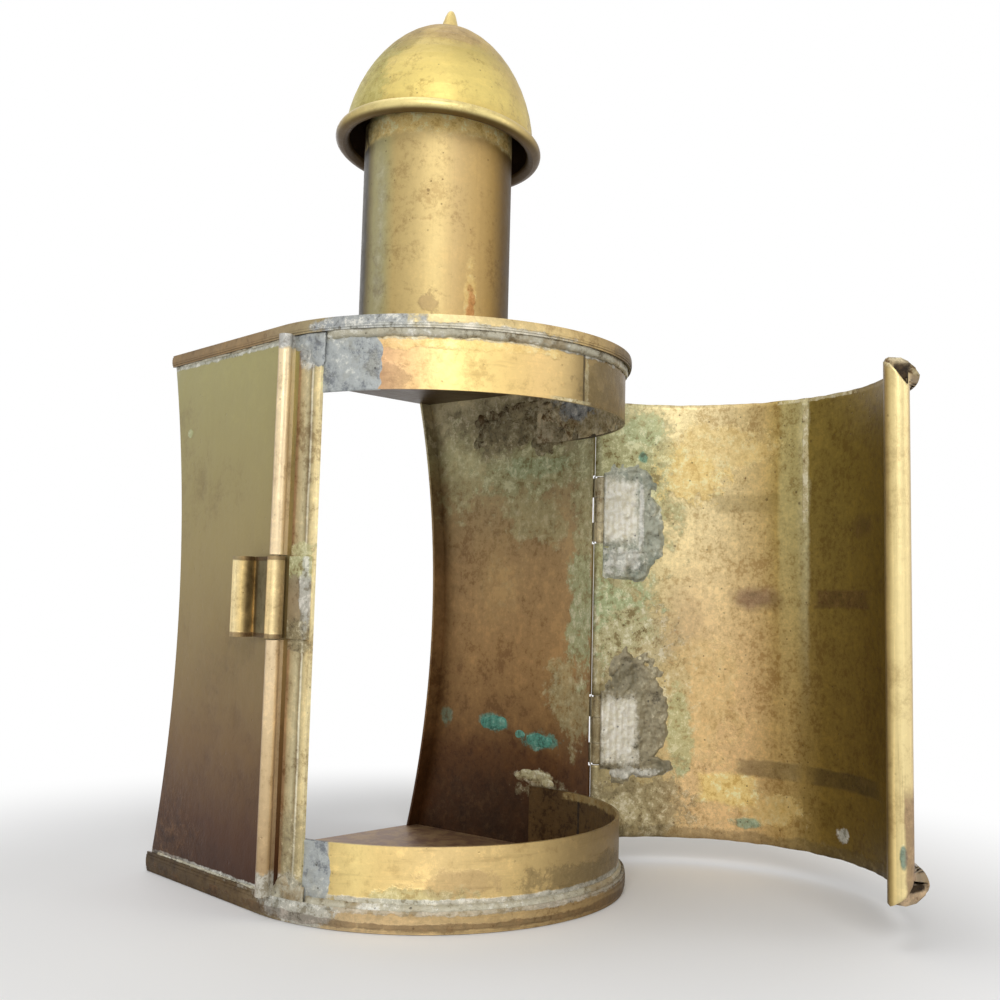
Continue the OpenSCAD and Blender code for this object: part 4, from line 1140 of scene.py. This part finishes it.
edgeRoll = {
    "turn": -162.2, "noseAt": 47.6, "nose": 2.59, "tailAt": 46.5, "tail": 0.9, "tailTurn": -151.52,
    "wall": 0.5, "foot": 6.6, "top": 116.6, "sides": 120,
    # rods that the sheet runs round at each end: across the picture, away from the camera, radius
    # rods that the sheet runs round at each end: across the picture, away from the camera, radius
    "topRods": [(3.9, 4.2, 0.75), (2.6, 3.8, 0.9), (1.2, 2.8, 1.0)], "topFlare": (3.6, 7.4),
    "footRods": [(4.7, 5.9, 0.8), (3.2, 5.4, 0.9), (1.4, 4.0, 1.0)], "footFlare": (3.6, 8.6),
    # how far the rim lies inside the roll's end, by the place across, on the far side and on the near side
    "topFar": [(-2.6, 1.7), (-2.1, 0.7), (-1.3, 0.2), (-0.3, 0), (1.1, 0.3), (2.3, 0.9), (3.75, 2.1), (4.75, 3.9)],
    "topNear": [(-2.6, 1.7), (-1.3, 2.5), (-0.1, 3.9), (1.1, 5.5), (2.1, 6.7), (2.9, 6.0), (4.4, 4.5), (4.75, 3.9)],
    "footFar": [(-2.6, 1.6), (-2.0, 1.0), (-1.4, 0.5), (-0.1, 0), (1.4, 0.2), (2.95, 0.6), (4.4, 1.9), (5.2, 3.1),
                (5.5, 4.2)],
    "footNear": [(-2.6, 1.6), (-2.0, 1.3), (-0.4, 2.2), (1.2, 3.4), (2.2, 5.2), (2.65, 7.4), (3.2, 8.0), (4.9, 6.4),
                 (5.5, 4.6)],
}
sideways = Vector((0.444, -0.896, 0))
depthways = Vector((0.896, 0.444, 0))


# Point of a loop drawn round some rods, in one direction
def loopPoint(rods, direction):
    centre, radius = max(rods, key=lambda rod: rod[0].dot(direction) + rod[1])
    return centre + direction * radius


def between(stops, at):
    for (low, first), (high, last) in zip(stops, stops[1:]):
        if at <= high:
            return first + (last - first) * max(0, at - low) / (high - low)
    return stops[-1][1]


# Rolled edge that opens obliquely and flares at both ends
def makeEdgeRoll():
    nose = onDoor(edgeRoll["turn"], edgeRoll["noseAt"], 0) / mm
    tail = onDoor(edgeRoll["tailTurn"], edgeRoll["tailAt"], 0) / mm
    folded = nose.lerp(tail, 0.45)
    ends = {
        name: ([(nose + sideways * across + depthways * back, radius)
                for across, back, radius in edgeRoll[name + "Rods"]], edgeRoll[name + "Flare"])
        for name in ("top", "foot")}
    shares = [0, 0.006, 0.012, 0.018, 0.024, 0.03, 0.036, 0.044, 0.052, 0.062, 0.075, 0.1]
    shares = shares + [0.2, 0.35, 0.5, 0.65, 0.8] + [1 - share for share in reversed(shares)]
    loops = ([], [])
    outsides = [(nose, edgeRoll["nose"])]
    rims = {}
    for name, (flared, flare) in ends.items():
        rims[name] = []
        for k in range(edgeRoll["sides"]):
            angle = 2 * math.pi * k / edgeRoll["sides"]
            direction = sideways * math.cos(angle) + depthways * math.sin(angle)
            across = (loopPoint(outsides + flared, direction) - nose).dot(sideways)
            far = between(edgeRoll[name + "Far"], across)
            near = between(edgeRoll[name + "Near"], across)
            rims[name].append(near + (far - near) * smooth(math.sin(angle), -0.12, 0.12))
    for share in shares:
        for k in range(edgeRoll["sides"]):
            degrees = 360 * k / edgeRoll["sides"]
            angle = math.radians(degrees)
            low = edgeRoll["foot"] + rims["foot"][k] + 0.1 * lump(angle * 3, 0, 1, 50)
            high = edgeRoll["top"] - rims["top"][k] + 0.1 * lump(angle * 3, 4, 1, 52)
            level = low + (high - low) * share
            name = "top" if share > 0.5 else "foot"
            flared, (full, gone) = ends[name]
            away = edgeRoll["top"] - level if share > 0.5 else level - edgeRoll["foot"]
            closed = min(1, max(0, (away - full) / (gone - full)))
            opened = math.sqrt(1 - closed * closed)
            behind = tail.lerp(nose, opened)
            direction = sideways * math.cos(angle) + depthways * math.sin(angle)
            dent = -0.06 * abs(lump(level, degrees * 0.06, 8, 51))
            for side, thin in enumerate((0, edgeRoll["wall"])):
                rods = [(nose, edgeRoll["nose"] - thin), (behind, max(0.3, edgeRoll["tail"] - thin))]
                rods += [(folded.lerp(centre, opened), max(0.12, radius - thin * 0.6)) for centre, radius in flared]
                point = loopPoint(rods, direction)
                loops[side].append((point + sideways * dent + Vector((0, 0, level))) * mm)
    rows, sides = len(shares), edgeRoll["sides"]
    count = rows * sides
    around = gridFaces(rows, sides, roundColumns=True)
    faces = around + [tuple(k + count for k in reversed(face)) for face in around]
    for k in range(sides):
        following = (k + 1) % sides
        faces.append((following, k, k + count, following + count))
        a, b = (rows - 1) * sides + k, (rows - 1) * sides + following
        faces.append((a, b, b + count, a + count))
    return finishPiece("edgeRoll", loops[0] + loops[1], faces, agedBrass("edgeRollBrass", rollLook), "door",
                       ["door_edge_roll"])


makeEdgeRoll()
# Solder over a leaf: a crust round it and a smoother plate above it
def leafHeight(crust, plate, seed):
    left, right, foot, top = plate

    def heightAt(u, z):
        level = crust(u, z)
        inside = min(u - left, right - u, z - foot, top - z) + 0.5 * lump(u, z, 2, seed)
        if inside > -0.4:
            ridge = 0.16 * smooth(abs(math.sin(u * 1.9)), 0.6, 1) + 0.1 * lump(u * 3, z, 3, seed + 1)
            level = max(level, 0.74 + ridge + 0.1 * lump(u, z, 1.2, seed + 2)) if inside > 0 else max(level, 0.6)
        return level
    return heightAt


upperCrust = lumpyHeight([(6.5, 88.8, 8.0, 12), (11.5, 84, 5, 10), (6, 75.5, 7.5, 5), (9, 96, 5, 4)], 0.95, 0.26, 0.8,
                         33, 6, 2.4)
depositPiece("upperLeafSolder", doorSurface, (0.3, 18, 68, 101, 0.3),
             leafHeight(upperCrust, (0, 11.2, 79.6, 98), 60), solders["leaf"], "door")
lowerCrust = lumpyHeight([(7, 33, 8.6, 13), (8, 46, 5.4, 6.4), (13, 36, 5, 14), (13, 24, 6, 3)], 0.9, 0.35, 0.8, 34,
                         6, 2.2)
depositPiece("lowerLeafSolder", doorSurface, (0.3, 22, 19, 55, 0.3),
             leafHeight(lowerCrust, (0, 11.2, 23.6, 42), 64), solders["lowLeaf"], "door")
print("door dressed")
